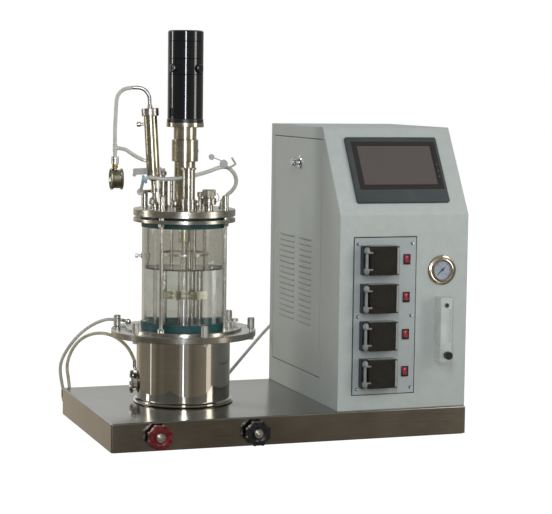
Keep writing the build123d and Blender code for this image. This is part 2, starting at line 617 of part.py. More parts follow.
def condenser():
    """Exhaust condenser: union nut, cone and straight body with two side nipples."""
    body = turned([(0, 25.7), (3.6, 25.7), (3.6, 33.7), (7, 33.7), (7, 40.7), (5.5, 41.5), (5.5, 55.7),
                   (CONDENSER_R, 64.5), (CONDENSER_R, 188.7), (0, 188.7)])
    upper = Pos(0, 0, 173) * Rot(0, -90, 0) * turned([(0, 10), (3, 10), (3, 20.5), (5, 21), (5, 27.5),
                                                      (4, 28.5), (0, 28.5)])
    nipple_root = lid_point(-66, 8, 548)
    return condenser_frame() * (body + upper) + bar(nipple_root, BRANCH_HOSE[-1], 2.6)


def condenser_cap():
    """Screwed cap of the condenser with its neck nut and the bent vent pipe."""
    cap = turned([(0, 188.7), (16.5, 188.7), (17.5, 189.7), (17.5, 203.7), (16.3, 204.7), (5.6, 204.7),
                  (5, 206), (5, 210), (4, 211), (0, 211)])
    pipe = bent_pipe([lid_point(-72.2, 8, 664), lid_point(-73.8, 8, 702), VENT_HOSE[0]], 24, 3.8)
    return condenser_frame() * cap + pipe


def condenser_clip():
    """Grey plastic clip snapped on the condenser from behind, with a hooked arm and a nub."""
    z, tall, clip_r = 77.0, 13.0, CONDENSER_R + 3.2
    clip = Cylinder(clip_r, tall) - Cylinder(CONDENSER_R + 0.1, 2 * tall)
    clip -= Pos(0, -6 - clip_r, 0) * Box(3 * clip_r, 2 * clip_r, 2 * tall)
    clip = Pos(0, 0, z) * clip
    arm = Pos(-28, 0, z) * Box(26, 7, tall)
    arm = fillet(arm.edges().filter_by(Axis.Y), 3)
    hook = Pos(-38.5, 0, z - 6) * Rot(90, 0, 0) * Cylinder(4, 7)
    nub = Pos(20, 0, z) * Rot(0, 90, 0) * Cylinder(4, 9)
    return condenser_frame() * (clip + arm + hook + nub)


def lid_connector():
    """Clear barbed connector with its coloured ring, between the rear port and the lid hose."""
    eye = Plane(origin=lid_point(-91, -9, 489), z_dir=LID_FRONT) * (
        Torus(5, 2.2) + Cylinder(3.5, 1.6))
    riser = bar(lid_point(-90, -9, 491), lid_point(-84.5, 27, 513.5), 3.2)
    collar = bar(lid_point(-86, 28.5, 514.5), LID_HOSE[0], 4.0)
    flange = bar(lid_point(-83, 29, 516.1), lid_point(-80.2, 29.5, 517.5), 9.2)
    return eye + riser + collar + flange


# Small pressure gauge hanging from the vent hose ----------------------------------------------

TEE = (-142.4, 8.0, 578.7)
GAUGE_Z, GAUGE_TURN = 515.7, 78.0
GAUGE_R, GAUGE_T = 22.0, 24.5


def gauge_frame():
    """Plane at the middle of the gauge's case, looking out through its dial."""
    turn = math.radians(GAUGE_TURN)
    outward = LID_FRONT * math.cos(turn) - LID_RIGHT * math.sin(turn)
    return Plane(origin=lid_point(-139.5, 8, GAUGE_Z), x_dir=Vector(0, 0, 1).cross(outward),
                 z_dir=outward)


def gauge_stem():
    """Tee of the vent hoses, with the chrome nut and brass stem that carry the gauge."""
    s, d, z = TEE
    x, y = lid_at(s, d)
    tee = post(x, y, z - 8, z + 8, 4.4) + bar((x, y, z), lid_point(s + 6, d, z), 4.4)
    stem = turned([(0, 575), (4, 575), (4, 561.8), (7.6, 561), (7.6, 546.3), (6.4, 545.5),
                   (5.7, 545.5), (5.7, 541.4), (6.4, 541), (6.4, 538.7), (4.2, 538.2), (4.2, 530.5),
                   (0, 530.5)], x, y)
    return tee + stem


def vessel_gauge():
    """Round gauge case with rims at both ends and a sunk dial."""
    half = GAUGE_T / 2
    case = turned([(0, -half), (GAUGE_R - 1, -half), (GAUGE_R, -half + 1), (GAUGE_R - 0.6, -half + 3),
                   (GAUGE_R - 3, -half + 5), (GAUGE_R - 3, half - 6), (GAUGE_R - 0.4, half - 4.5),
                   (GAUGE_R, half - 1), (GAUGE_R - 1.5, half), (GAUGE_R - 3.5, half - 0.6),
                   (GAUGE_R - 3.8, half - 4), (0, half - 4)])
    x, y = lid_at(TEE[0], TEE[1])
    return gauge_frame() * case - post(x, y, 529.5, 540, 4.3)


def dial_pointer(length, tail, width, swing):
    """Flat tapered pointer with its hub, set at an angle on a dial facing +Z."""
    blade = make_face(Polyline((-tail, -width), (0, -width * 0.9), (length, -0.35), (length, 0.35),
                               (0, width * 0.9), (-tail, width), close=True))
    hand = extrude(blade, 0.5) + Cylinder(2.0 * width, 1.2, align=FROM_BELOW)
    return Rot(0, 0, swing) * hand


def vessel_gauge_pointer():
    """Pointer of the hanging gauge."""
    return gauge_frame() * Pos(0, 0, GAUGE_T / 2 - 3.6) * dial_pointer(12, 4, 0.9, 225)


# Hoses: each route is a list of points, from its first fitting to its last --------------------

VENT_HOSE = [lid_point(-107, 8, 701.9), lid_point(-121, 8, 700.8), lid_point(-132.7, 8, 693.2),
             lid_point(-139.5, 8, 681), lid_point(-140.6, 8, 661), lid_point(-141.8, 8.3, 637),
             lid_point(-142.9, 8.2, 611), lid_point(-142.4, 8, 586.7)]
BRANCH_HOSE = [lid_point(-136.4, 8, 578.7), lid_point(-122.2, 8, 577.6), lid_point(-110, 8, 568.5),
               lid_point(-96, 8, 559.8), lid_point(-83.5, 8, 554.5)]
LID_HOSE = [lid_point(-72, 31, 521.5), lid_point(-54, 33, 518.4), lid_point(-35, 33.5, 517.8),
            lid_point(-1.6, 33, 520.5), lid_point(24.1, 30, 526.5), lid_point(50, 23, 534),
            lid_point(70, 15, 542), lid_point(84, 10, 543.4), lid_point(96, 5, 536.5),
            lid_point(104.5, 1, 524), lid_point(106.5, -3, 508.5), lid_point(99, -6, 494),
            lid_point(86, -8, 483.5), lid_point(*BARB, BARB_TOP)]
OUTER_HOSE = [(-273, 98, 216), (-289, 110, 217), (-305, 126, 215), (-329, 150, 200), (-351, 176, 175),
              (-368, 202, 143), (-377, 225, 112), (-375, 239, 82), (-368, 239, 50)]
INNER_HOSE = [(*around(105.5, 148), 135), (-261, 73, 153), (-273, 95, 171), (-291, 126, 183),
              (-315, 152, 184), (-338, 178, 172), (-353, 202, 149), (-361, 221, 121),
              (-361, 236, 96), (-356, 239.5, 72), (-354, 239, 50)]
RIGHT_HOSE = [(-71.1, 40.7, 86.5), (-57, 57.5, 94), (110, 254, 175.5), (125.2, 258.9, 178),
              (140.7, 255.1, 179.5), (151.8, 243.6, 180), (154.7, 229.9, 179.5)]
HOSE_R = 3.5
VENT_HOSE_R = 3.8
LID_HOSE_R = 4.0


def hose(name, points, r):
    """Free hose: straight runs joined by the largest arcs that they have room for."""
    runs = [Vector(*b) - Vector(*a) for a, b in zip(points, points[1:])]
    radii = []
    for one, two in zip(runs, runs[1:]):
        half_turn = math.radians(one.get_angle(two)) / 2
        radii.append(0.45 * min(one.length, two.length) / math.tan(half_turn))
    path = FilletPolyline(*points, radius=radii)
    tube = sweep(Plane(origin=path @ 0, z_dir=path % 0) * Circle(r), path)
    ratio = tube.volume / (math.pi * r * r * path.length)
    print(f"{name}: length {path.length:.0f}, tightest {min(radii) / (2 * r):.1f} diameters, "
          f"runs {[round(run.length) for run in runs]}, volume ratio {ratio:.3f}")
    return tube


def pinch_clip():
    """Spring clip that squeezes the lid hose shut, with a thumb disc and a bent lever."""
    jaw = Plane(origin=lid_point(79.5, 10.5, 549), z_dir=LID_FRONT) * Cylinder(8.2, 15)
    jaw -= bar(lid_point(66, 16.4, 541.2), lid_point(94, 6, 542.2), LID_HOSE_R + 0.1)
    wire = bar(lid_point(76, 11, 555), lid_point(57, 13, 562), 1.0)
    disc = Plane(origin=lid_point(54.4, 13, 562.9), z_dir=LID_FRONT) * Cylinder(6, 3)
    lever = bent_pipe([lid_point(82, 16, 546), lid_point(89, 16, 540.5), lid_point(104, 16, 548.8),
                       lid_point(95.5, 16, 562.4)], 2, 1.9)
    return jaw + wire + disc + lever


# Cabinet --------------------------------------------------------------------------------------

SLOPE_LEAN = math.atan2(SLOPE_TOP_Y - CAB_Y0, CAB_TOP - SHOULDER_Z)
SIDE_Y0, SIDE_Y1, SIDE_Z0, SIDE_Z1 = -98.0, 193.0, 111.0, 600.5
GAUGE_X, PANEL_GAUGE_Z = CAB_X0 + 223.8, 340.0
METER_X0, METER_W, METER_D = CAB_X0 + 209.3, 26.0, 31.0
METER_Z0, METER_Z1 = 156.0, 286.0
METER_X = METER_X0 + METER_W / 2
METER_Y = CAB_Y0 - 17.0
HOSE_GLAND = (154.7, 179.5)


def slope_plane():
    """Plane on the sloped front: X across from the cabinet's left, Y up the slope."""
    up = Vector(0, math.sin(SLOPE_LEAN), math.cos(SLOPE_LEAN))
    return Plane(origin=(CAB_X0, CAB_Y0, SHOULDER_Z), x_dir=(1, 0, 0),
                 z_dir=Vector(1, 0, 0).cross(up))


def side_profile(inset, x0, x1):
    """Cabinet's side outline, set in by a sheet's thickness, as a solid between two X places."""
    lean = math.tan(SLOPE_LEAN)
    slope_inset = inset / math.cos(SLOPE_LEAN)
    y0, top = CAB_Y0 + inset, CAB_TOP - inset
    shoulder = SHOULDER_Z + (inset - slope_inset) / lean
    top_y = CAB_Y0 + (top - SHOULDER_Z) * lean + slope_inset
    outline = [(y0, BASE_H), (y0, shoulder), (top_y, top), (CAB_Y1 - inset, top),
               (CAB_Y1 - inset, BASE_H)]
    face = make_face(Polyline(*[(x0, y, z) for y, z in outline], close=True))
    return extrude(face, x1 - x0, dir=(1, 0, 0))


def cabinet_shell():
    """Folded sheet cabinet, with its side opening, pump opening and instrument cut-outs."""
    shell = side_profile(0, CAB_X0, CAB_X1)
    shell = fillet(shell.edges().filter_by(Axis.X).sort_by(Axis.Z)[2:], 3)
    shell -= side_profile(SHEET, CAB_X0 + SHEET, CAB_X1 - SHEET)
    shell += block(CAB_X0 + 1, CAB_X1 - 1, CAB_Y0 + 1, CAB_Y1 - 1, BASE_H, BASE_H + SHEET)
    shell -= block(CAB_X0 + 20, CAB_X1 - 20, CAB_Y0 + 20, CAB_Y1 - 20, BASE_H - 1, BASE_H + 5)
    side_gap = 1.6
    shell -= block(CAB_X0 - 1, CAB_X0 + SHEET, SIDE_Y0 - side_gap, SIDE_Y1 + side_gap,
                   SIDE_Z0 - side_gap, SIDE_Z1 + side_gap)
    rim = block(CAB_X0 + SHEET, CAB_X0 + 2 * SHEET, SIDE_Y0 - 12, SIDE_Y1 + 12, SIDE_Z0 - 12,
                SIDE_Z1 + 12)
    rim -= block(CAB_X0, CAB_X0 + 9, SIDE_Y0 + 10, SIDE_Y1 - 10, SIDE_Z0 + 10, SIDE_Z1 - 10)
    shell += rim & side_profile(SHEET, CAB_X0 + SHEET, CAB_X0 + 2 * SHEET)
    panel_gap = 2.0
    shell -= block(PANEL_X0 - panel_gap, PANEL_X1 + panel_gap, CAB_Y0 - 1, CAB_Y0 + SHEET,
                   PANEL_Z0 - panel_gap, PANEL_Z1 + panel_gap)
    ledge = block(PANEL_X0 - 12, PANEL_X1 + 12, CAB_Y0 + SHEET, CAB_Y0 + 2 * SHEET, PANEL_Z0 - 12,
                  PANEL_Z1 + 12)
    ledge -= block(PANEL_X0 + 13, PANEL_X1 - 13, CAB_Y0, CAB_Y0 + 9, PANEL_Z0 + 9, PANEL_Z1 - 9)
    shell += ledge
    for x, z in SCREW_PLACES:
        shell -= screw_hole(x, z)
    shell -= bar((GAUGE_X, CAB_Y0 - 5, PANEL_GAUGE_Z), (GAUGE_X, CAB_Y0 + 9, PANEL_GAUGE_Z), 24)
    for z in (METER_Z0 + 18, METER_Z1 - 15):
        shell -= bar((METER_X, CAB_Y0 - 5, z), (METER_X, CAB_Y0 + 9, z), 4.2)
    shell -= slope_plane() * Pos(142, 102, 0) * Box(186, 136, 20)
    x, z = HOSE_GLAND
    shell -= bar((x, CAB_Y1 - 9, z), (x, CAB_Y1 + 5, z), 4.2)
    return shell


def hose_gland():
    """Bulkhead fitting on the cabinet's back for the right jacket hose."""
    x, z = HOSE_GLAND
    body = bar((x, CAB_Y1 - 12, z), (x, RIGHT_HOSE[-1][1], z), 4)
    nut = Plane(origin=(x, CAB_Y1 + 5, z), z_dir=(0, -1, 0)) * extrude(
        RegularPolygon(6.5, 6, major_radius=False), 5)
    return body + nut


def side_panel():
    """Removable side sheet with two columns of louvres."""
    panel = block(CAB_X0, CAB_X0 + SHEET - 0.3, SIDE_Y0, SIDE_Y1, SIDE_Z0, SIDE_Z1)
    rows, first, pitch, slot = 16, 212.0, 11.8, 3.2
    for k in range(rows):
        z = first + k * pitch
        for y0, y1 in ((-43, 29), (61, 150)):
            hood = Plane.XZ.offset(-y0) * make_face(Polyline(
                (CAB_X0 + 0.2, z + slot + 2.4), (CAB_X0 - 1.8, z + 0.4), (CAB_X0 - 1.0, z),
                (CAB_X0 + 0.2, z + slot), close=True))
            panel += extrude(hood, y1 - y0, dir=(0, 1, 0))
            panel -= block(CAB_X0 - 0.6, CAB_X0 + 5, y0 + 1, y1 - 1, z - 0.4, z + slot - 0.8)
    panel -= bar((CAB_X0 - 5, LOCK_Y, LOCK_Z), (CAB_X0 + 5, LOCK_Y, LOCK_Z), 4.3)
    return panel


LOCK_Y, LOCK_Z = 31.0, 549.5


def lock_rosette():
    """Round rosette round the panel's lock."""
    rosette = turned([(4.3, 0), (13.5, 0), (13.5, 1.5), (11, 3.2), (4.3, 3.2)])
    return Plane(origin=(CAB_X0, LOCK_Y, LOCK_Z), z_dir=(-1, 0, 0)) * rosette


def panel_lock():
    """Quarter-turn knob with its spindle and the tongue behind the panel."""
    knob = turned([(0, -3.5), (4, -3.5), (4, 4), (8, 5), (8, 18), (7, 20), (0, 20)])
    for k in range(10):
        a = math.radians(36 * k)
        knob -= Pos(8.2 * math.cos(a), 8.2 * math.sin(a), 12) * Cylinder(1, 20)
    tongue = Pos(0, 0, -3) * Box(14, 9, 1.6) + Pos(8, 0, -3) * Box(8, 9, 1.6)
    return Plane(origin=(CAB_X0, LOCK_Y, LOCK_Z), x_dir=(0, 0, 1), z_dir=(-1, 0, 0)) * (knob + tongue)


def pump_panel():
    """Flat plate that carries the four pumps and their switches."""
    plate = block(PANEL_X0, PANEL_X1, PANEL_FACE, CAB_Y0 + SHEET, PANEL_Z0, PANEL_Z1)
    for z in PUMP_HEIGHTS:
        plate -= bar((ROTOR_X, CAB_Y0 - 9, z), (ROTOR_X, CAB_Y0 + 9, z), 17)
        plate -= block(SWITCH_X - 6.5, SWITCH_X + 6.5, CAB_Y0 - 9, CAB_Y0 + 9, z - 9.5, z + 9.5)
    for x, z in SCREW_PLACES:
        plate -= screw_hole(x, z)
    return plate


def screw_hole(x, z):
    """Clearance hole for one of the panel's screws."""
    return bar((x, CAB_Y0 - 9, z), (x, CAB_Y0 + 9, z), 2.0)


SCREW_PLACES = [(CAB_X0 + x, z) for x, z in
                ((38.5, 396), (156.5, 396), (39.4, 249.5), (157, 249.2), (40, 102), (158, 102))]


def panel_screws():
    """Six domed screws round the pump panel."""
    group = []
    for x, z in SCREW_PLACES:
        screw = turned([(0, -6), (1.9, -6), (1.9, 0), (3.8, 0), (3.4, 1.3), (2.2, 2.3), (0, 2.7)])
        screw -= Pos(0, 0, 2.4) * (Box(3.6, 0.8, 1.4) + Box(0.8, 3.6, 1.4))
        group.append(Plane(origin=(x, PANEL_FACE, z), x_dir=(1, 0, 0), z_dir=(0, -1, 0)) * screw)
    return group


# A pump in its own frame: X to the right from the rotor, Y up, Z out from the panel's face
PUMP_LEFT = PUMP_X - ROTOR_X
PUMP_RIGHT = PUMP_LEFT + PUMP_W
BODY_T, COLUMN_W, COLUMN_T, COVER_FRONT = 8.0, 12.0, 15.0, 24.5
TUBE_LINE, TUBE_R = 22.8, 2.4


def pump_frame(z):
    """Plane on the panel's face at one pump's rotor."""
    return Plane(origin=(ROTOR_X, PANEL_FACE, z), x_dir=(1, 0, 0), z_dir=(0, -1, 0))


def slab(x0, x1, y0, y1, z0, z1, corner):
    """Block with rounded upright corners, in a pump's own frame."""
    body = block(x0, x1, y0, y1, z0, z1)
    return fillet(body.edges().filter_by(Axis.Z), corner)


def pump_body():
    """Pump's backplate and tube column, with its gear motor behind the panel."""
    half = PUMP_H / 2
    body = slab(PUMP_LEFT, PUMP_RIGHT, -half, half, 0, BODY_T, 2)
    body += slab(PUMP_LEFT, PUMP_LEFT + COLUMN_W, -half, half, 0, COLUMN_T, 2)
    body -= Pos(0, 0, BODY_T - 3) * Cylinder(23, 10, align=FROM_BELOW)
    body += Pos(0, 0, -56) * Cylinder(16.5, 57, align=FROM_BELOW)
    body -= Pos(0, 0, -30) * Cylinder(3.1, 60, align=FROM_BELOW)
    return body


def pump_cover():
    """Smoked cover, moulded as an open-backed box with a grip strip at its right."""
    half, wall, left = PUMP_H / 2, 1.6, PUMP_LEFT + COLUMN_W + 0.3
    cover = slab(left, PUMP_RIGHT, -half, half, BODY_T + 0.1, COVER_FRONT, 2.5)
    cover = chamfer(cover.faces().sort_by(Axis.Z)[-1].edges(), 1.2)
    cover -= slab(left + wall, PUMP_RIGHT - wall - 3, -half + wall, half - wall, BODY_T - 1,
                  COVER_FRONT - wall, 1.5)
    for y in (-TUBE_LINE, TUBE_LINE):
        cover -= block(left - 1, left + 3, y - 3, y + 3, BODY_T - 1, 17)
    strip = slab(PUMP_RIGHT - 5, PUMP_RIGHT - 1.2, -half + 3, half - 3, COVER_FRONT - 1,
                 COVER_FRONT + 0.8, 0.8)
    return cover + strip


def pump_rotor():
    """Roller rotor: two plates, six rollers and the drive shaft."""
    rotor = Pos(0, 0, 6) * Cylinder(19.5, 2, align=FROM_BELOW)
    rotor += Pos(0, 0, 18.5) * Cylinder(18.5, 2, align=FROM_BELOW)
    rotor += Pos(0, 0, 7) * Cylinder(6, 12.5, align=FROM_BELOW)
    rotor += Pos(0, 0, -22) * Cylinder(3, 30, align=FROM_BELOW)
    for k in range(6):
        a = math.radians(60 * k + 12)
        x, y = 15 * math.cos(a), 15 * math.sin(a)
        rotor += Pos(x, y, 7) * Cylinder(4, 12.5, align=FROM_BELOW)
        rotor += Pos(x, y, 20) * Cylinder(2, 1.4, align=FROM_BELOW)
    return rotor


def pump_tube():
    """Pump tube: round the rollers and out through the two white side fittings."""
    z, entry = 12.5, PUMP_LEFT + COLUMN_W
    lead = Polyline((entry, TUBE_LINE, z), (0, TUBE_LINE, z))
    turn = ThreePointArc((0, TUBE_LINE, z), (TUBE_LINE, 0, z), (0, -TUBE_LINE, z))
    back = Polyline((0, -TUBE_LINE, z), (entry, -TUBE_LINE, z))
    path = Wire(lead.edges() + turn.edges() + back.edges())
    return sweep(Plane(origin=path @ 0, z_dir=path % 0) * Circle(TUBE_R), path)


def pump_fittings():
    """White barbed fittings at the tube column's top and bottom, with the link tube's length."""
    x, front = PUMP_LEFT + 5.6, COLUMN_T + 6.4
    link = Pos(x, 0, front) * Rot(90, 0, 0) * Cylinder(3, 32)
    group = link
    for side in (1, -1):
        y = side * 20
        barb = Plane(origin=(x, side * 15, front), z_dir=(0, side, 0)) * turned(
            [(0, 0), (4.2, 0), (6.2, 3), (6.2, 7), (5, 10), (3.2, 12.5), (0, 12.5)])
        wing = Pos(x + 5.5, side * 17, COVER_FRONT + 1.5) * Box(11, 3, 2.2)
        clasp = Pos(x, y, COLUMN_T) * Box(8, 8, 8.4, align=FROM_BELOW)
        group += barb + wing + clasp
    return group


ROCKER_TILT = -8.0


def rocker_bezel():
    """Black switch bezel with its body behind the panel."""
    bezel = slab(-7.5, 7.5, -10.5, 10.5, 0, 2, 1)
    bezel += block(-6.3, 6.3, -9.3, 9.3, -14, 0.5)
    return bezel - block(-5, 5, -8.3, 8.3, -6, 5)


def rocker():
    """Rocker with a hollowed face, turned about X; it rests on one side."""
    outline = make_face(Polyline((-7.2, 2.4), (-0.6, 0.9), (0.6, 0.9), (7.2, 2.4), (7.6, 1.6),
                                 (4.6, -3.4), (-4.6, -3.4), (-7.6, 1.6), close=True))
    key = Plane(origin=(-4.7, 0, 0), x_dir=(0, 1, 0), z_dir=(1, 0, 0)) * extrude(outline, 9.4)
    return Rot(ROCKER_TILT, 0, 0) * key


def switch_frame(z):
    """Plane on the panel's face at one switch."""
    return Plane(origin=(SWITCH_X, PANEL_FACE, z), x_dir=(1, 0, 0), z_dir=(0, -1, 0))


def touch_screen():
    """Touch screen's moulded bezel and body, set into the sloped front."""
    bezel = slab(40.4, 243.8, 25.8, 178, 0, 5.5, 5)
    bezel = chamfer(bezel.faces().sort_by(Axis.Z)[-1].edges(), 1.2)
    bezel -= block(63.5, 229.4, 63, 158.4, 4.3, 9)
    bezel += block(51, 233, 36, 168, -34, 0.5)
    return slope_plane() * bezel


def screen_glass():
    """Display window, a little below the bezel's face."""
    return slope_plane() * block(64, 228.9, 63.5, 157.9, 4.3, 4.9)


def panel_gauge():
    """Flush-mounted pressure gauge: spun flange, deep bezel and case behind the panel."""
    gauge = turned([(0, -26), (23, -26), (23.5, 0), (31, 0), (31, 1), (29.5, 3.2), (26.5, 4.6), (24, 4.2),
                    (22.8, 6.4), (21.2, 6.8), (19.6, 5.4), (19.6, 1.2), (0, 1.2)])
    return instrument_frame() * gauge


def instrument_frame():
    """Plane on the cabinet's front at the panel gauge."""
    return Plane(origin=(GAUGE_X, CAB_Y0, PANEL_GAUGE_Z), x_dir=(1, 0, 0), z_dir=(0, -1, 0))


def gauge_dials():
    """Printed dials of the panel gauge and of the small hanging gauge."""
    panel_dial = instrument_frame() * Pos(0, 0, 1.2) * Cylinder(19.4, 0.6, align=FROM_BELOW)
    small_dial = gauge_frame() * Pos(0, 0, GAUGE_T / 2 - 4) * Cylinder(17.8, 0.3, align=FROM_BELOW)
    return [panel_dial, small_dial]


def panel_gauge_pointer():
    """Pointer of the panel gauge."""
    return instrument_frame() * Pos(0, 0, 1.9) * dial_pointer(15, 7, 1.1, 222)


def meter_frame():
    """Upright axis of the rotameter's tube."""
    return Pos(METER_X, METER_Y, 0)


def rotameter():
    """Clear flow-meter block with its tapered bore and the screw bores behind it."""
    body = block(METER_X0, METER_X0 + METER_W, CAB_Y0 - METER_D, CAB_Y0, METER_Z0, METER_Z1)
    body = chamfer(body.edges().filter_by(Axis.Z), 0.8)
    bore = turned([(0, METER_Z0 + 24), (3.6, METER_Z0 + 24), (4.8, METER_Z1 - 22), (0, METER_Z1 - 22)])
    body -= meter_frame() * bore
    knob_z = METER_Z0 + 14
    return body - bar((METER_X, CAB_Y0 - METER_D - 1, knob_z), (METER_X, CAB_Y0 - 16, knob_z), 3.1)


def rotameter_float():
    """Small float inside the rotameter's bore."""
    return meter_frame() * turned([(0, METER_Z0 + 25), (1.5, METER_Z0 + 27), (3.2, METER_Z0 + 31),
                                   (3.2, METER_Z0 + 33), (0, METER_Z0 + 33)])


def rotameter_studs():
    """Threaded tails of the rotameter, through the cabinet's front, with their nuts."""
    group = []
    for z in (METER_Z0 + 18, METER_Z1 - 15):
        tail = bar((METER_X, CAB_Y0 + 0.1, z), (METER_X, CAB_Y0 + 22, z), 4)
        nut = Plane(origin=(METER_X, CAB_Y0 + SHEET, z), z_dir=(0, 1, 0)) * extrude(
            RegularPolygon(7, 6, major_radius=False), 5)
        group.append(tail + nut)
    return group


def rotameter_knob():
    """Flow knob with a ribbed grip and its valve stem."""
    knob = turned([(0, -14), (3, -14), (3, 0.5), (5.5, 0.5), (5.5, 5), (7.6, 6), (8, 7), (8, 17), (7, 18.5),
                   (0, 18.5)])
    for k in range(14):
        a = 2 * math.pi * k / 14
        knob -= Pos(8.3 * math.cos(a), 8.3 * math.sin(a), 12) * Cylinder(0.8, 20)
    return Plane(origin=(METER_X, CAB_Y0 - METER_D, METER_Z0 + 14), z_dir=(0, -1, 0)) * knob


def control_unit():
    """Power supply and control box on the cabinet's back wall."""
    box = block(180, 340, CAB_Y1 - SHEET - 80, CAB_Y1 - SHEET, 120, 400)
    box = fillet(box.edges().filter_by(Axis.Z), 3)
    for k in range(8):
        box -= block(200 + 16 * k, 206 + 16 * k, CAB_Y1 - 100, CAB_Y1 - 79, 300, 370)
    return box


# Nodes ----------------------------------------------------------------------------------------

def sub_parts():
    """Every sub-part by name; a list is a group of separate solids."""
    parts = {
        "base_tray": [base_tray(), base_plate()],
        "base_plumbing": valve_bodies() + rear_fittings() + [hose_gland()],
        "red_hand_wheel": hand_wheel(*RED_WHEEL),
        "black_hand_wheel": hand_wheel(*BLACK_WHEEL),
        "jacket": [jacket(), port_clamp()],
        "inner_pot": inner_pot(),
        "flange_nuts": flange_studs() + flange_nuts() + thumb_screws(),
        "gaskets": gaskets(),
        "glass_cylinder": glass_cylinder(),
        "upper_ring": upper_ring(),
        "tie_rods": tie_rods() + rod_nuts(),
        "baffle_cage": baffle_cage(),
        "dip_tubes": dip_tubes(),
        "stirrer_shaft": stirrer_shaft(),
        "impellers": impellers(),
        "culture_liquid": culture_liquid(),
        "bearing_housing": bearing_housing(),
        "drive_sleeve": drive_sleeve(),
        "shaft_coupling": shaft_coupling(),
        "motor_adapter": motor_adapter(),
        "motor": [motor()] + brush_caps(),
        "lid": lid() + electrode_sleeve(),
        "lid_fittings": lid_fittings() + [cap_wire()],
        "inoculation_cap": inoculation_cap(),
        "condenser": condenser(),
        "condenser_cap": condenser_cap(),
        "condenser_clip": condenser_clip(),
        "lid_connector": lid_connector(),
        "vessel_gauge": [vessel_gauge(), gauge_stem(), gauge_dials()[1]],
        "vessel_gauge_pointer": vessel_gauge_pointer(),
        "vent_hose": hose("vent_hose", VENT_HOSE, VENT_HOSE_R),
        "branch_hose": hose("branch_hose", BRANCH_HOSE, VENT_HOSE_R),
        "lid_hose": hose("lid_hose", LID_HOSE, LID_HOSE_R),
        "outer_jacket_hose": hose("outer_jacket_hose", OUTER_HOSE, HOSE_R),
        "inner_jacket_hose": hose("inner_jacket_hose", INNER_HOSE, HOSE_R),
        "right_jacket_hose": hose("right_jacket_hose", RIGHT_HOSE, HOSE_R),
        "pinch_clip": pinch_clip(),
        "cabinet_shell": cabinet_shell(),
        "side_panel": [side_panel(), lock_rosette()],
        "panel_lock": panel_lock(),
        "pump_panel": [pump_panel()] + panel_screws(),
        "pump_bodies": [pump_frame(z) * pump_body() for z in PUMP_HEIGHTS],
        "pump_covers": [pump_frame(z) * pump_cover() for z in PUMP_HEIGHTS],
        "pump_tubes": [pump_frame(z) * piece for z in PUMP_HEIGHTS
                       for piece in (pump_tube(), pump_fittings())],
        "rocker_bezels": [switch_frame(z) * rocker_bezel() for z in PUMP_HEIGHTS],
        "touch_screen": [touch_screen(), screen_glass()],
        "panel_gauge": [panel_gauge(), gauge_dials()[0]],
        "panel_gauge_pointer": panel_gauge_pointer(),
        "rotameter": [rotameter()] + rotameter_studs(),
        "rotameter_float": rotameter_float(),
        "rotameter_knob": rotameter_knob(),
        "control_unit": control_unit(),
    }
    for number, z in enumerate(PUMP_HEIGHTS, start=1):
        parts[f"pump_rotor_{number}"] = pump_frame(z) * pump_rotor()
        parts[f"rocker_{number}"] = switch_frame(z) * rocker()
    return parts


os.makedirs("parts", exist_ok=True)
for name, shape in sub_parts().items():
    if isinstance(shape, list):
        shape = Compound(children=shape)
    export_step(shape, f"parts/{name}.step")
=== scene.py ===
import math

import bmesh
import bpy
from mathutils import Matrix, Vector


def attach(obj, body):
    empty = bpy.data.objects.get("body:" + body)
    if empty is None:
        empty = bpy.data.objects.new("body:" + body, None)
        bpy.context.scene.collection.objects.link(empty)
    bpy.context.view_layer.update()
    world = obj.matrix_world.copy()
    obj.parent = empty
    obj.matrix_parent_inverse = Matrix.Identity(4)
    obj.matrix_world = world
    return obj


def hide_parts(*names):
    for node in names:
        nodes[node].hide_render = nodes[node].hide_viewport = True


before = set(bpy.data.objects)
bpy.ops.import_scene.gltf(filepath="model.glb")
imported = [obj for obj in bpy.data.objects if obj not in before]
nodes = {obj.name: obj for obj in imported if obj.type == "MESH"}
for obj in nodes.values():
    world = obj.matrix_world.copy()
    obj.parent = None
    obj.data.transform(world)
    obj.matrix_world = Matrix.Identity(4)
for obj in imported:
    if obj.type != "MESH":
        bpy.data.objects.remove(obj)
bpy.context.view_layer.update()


# Base: a shallow tray folded from 2 mm stainless sheet, with the closing plate that it stands
# on. The sheet is linished in long strokes, so its shine is drawn out along the base.
def linear(colour):
    """sRGB hex colour as linear RGBA."""
    channels = [int(colour[k:k + 2], 16) / 255 for k in (1, 3, 5)]
    return (*[c / 12.92 if c <= 0.04045 else ((c + 0.055) / 1.055) ** 2.4 for c in channels], 1)


def add(owner, kind, inputs=(), **settings):
    """Adds a node with its settings to a material or the world. An input is a plain value,
    another node's output, or a node for its first output. A Mix node's two colours go in at
    6 and 7, and the mixed one comes out at 2."""
    made = owner.node_tree.nodes.new(kind)
    for name, value in settings.items():
        setattr(made, name, value)
    for socket, value in dict(inputs).items():
        if isinstance(value, bpy.types.Node):
            value = value.outputs[0]
        if isinstance(value, bpy.types.NodeSocket):
            owner.node_tree.links.new(value, made.inputs[socket])
        else:
            made.inputs[socket].default_value = value
    return made


def new_material(name):
    """Empty node material."""
    material = bpy.data.materials.new(name)
    material.use_nodes = True
    material.node_tree.nodes.clear()
    return material


def colour_steps(ramp, *steps):
    """Sets a colour ramp's stops from (place, hex colour) pairs, and gives its node."""
    stops = ramp.color_ramp.elements
    while len(stops) < len(steps):
        stops.new(0.5)
    for stop, (place, colour) in zip(stops, steps):
        stop.position, stop.color = place, linear(colour)
    return ramp


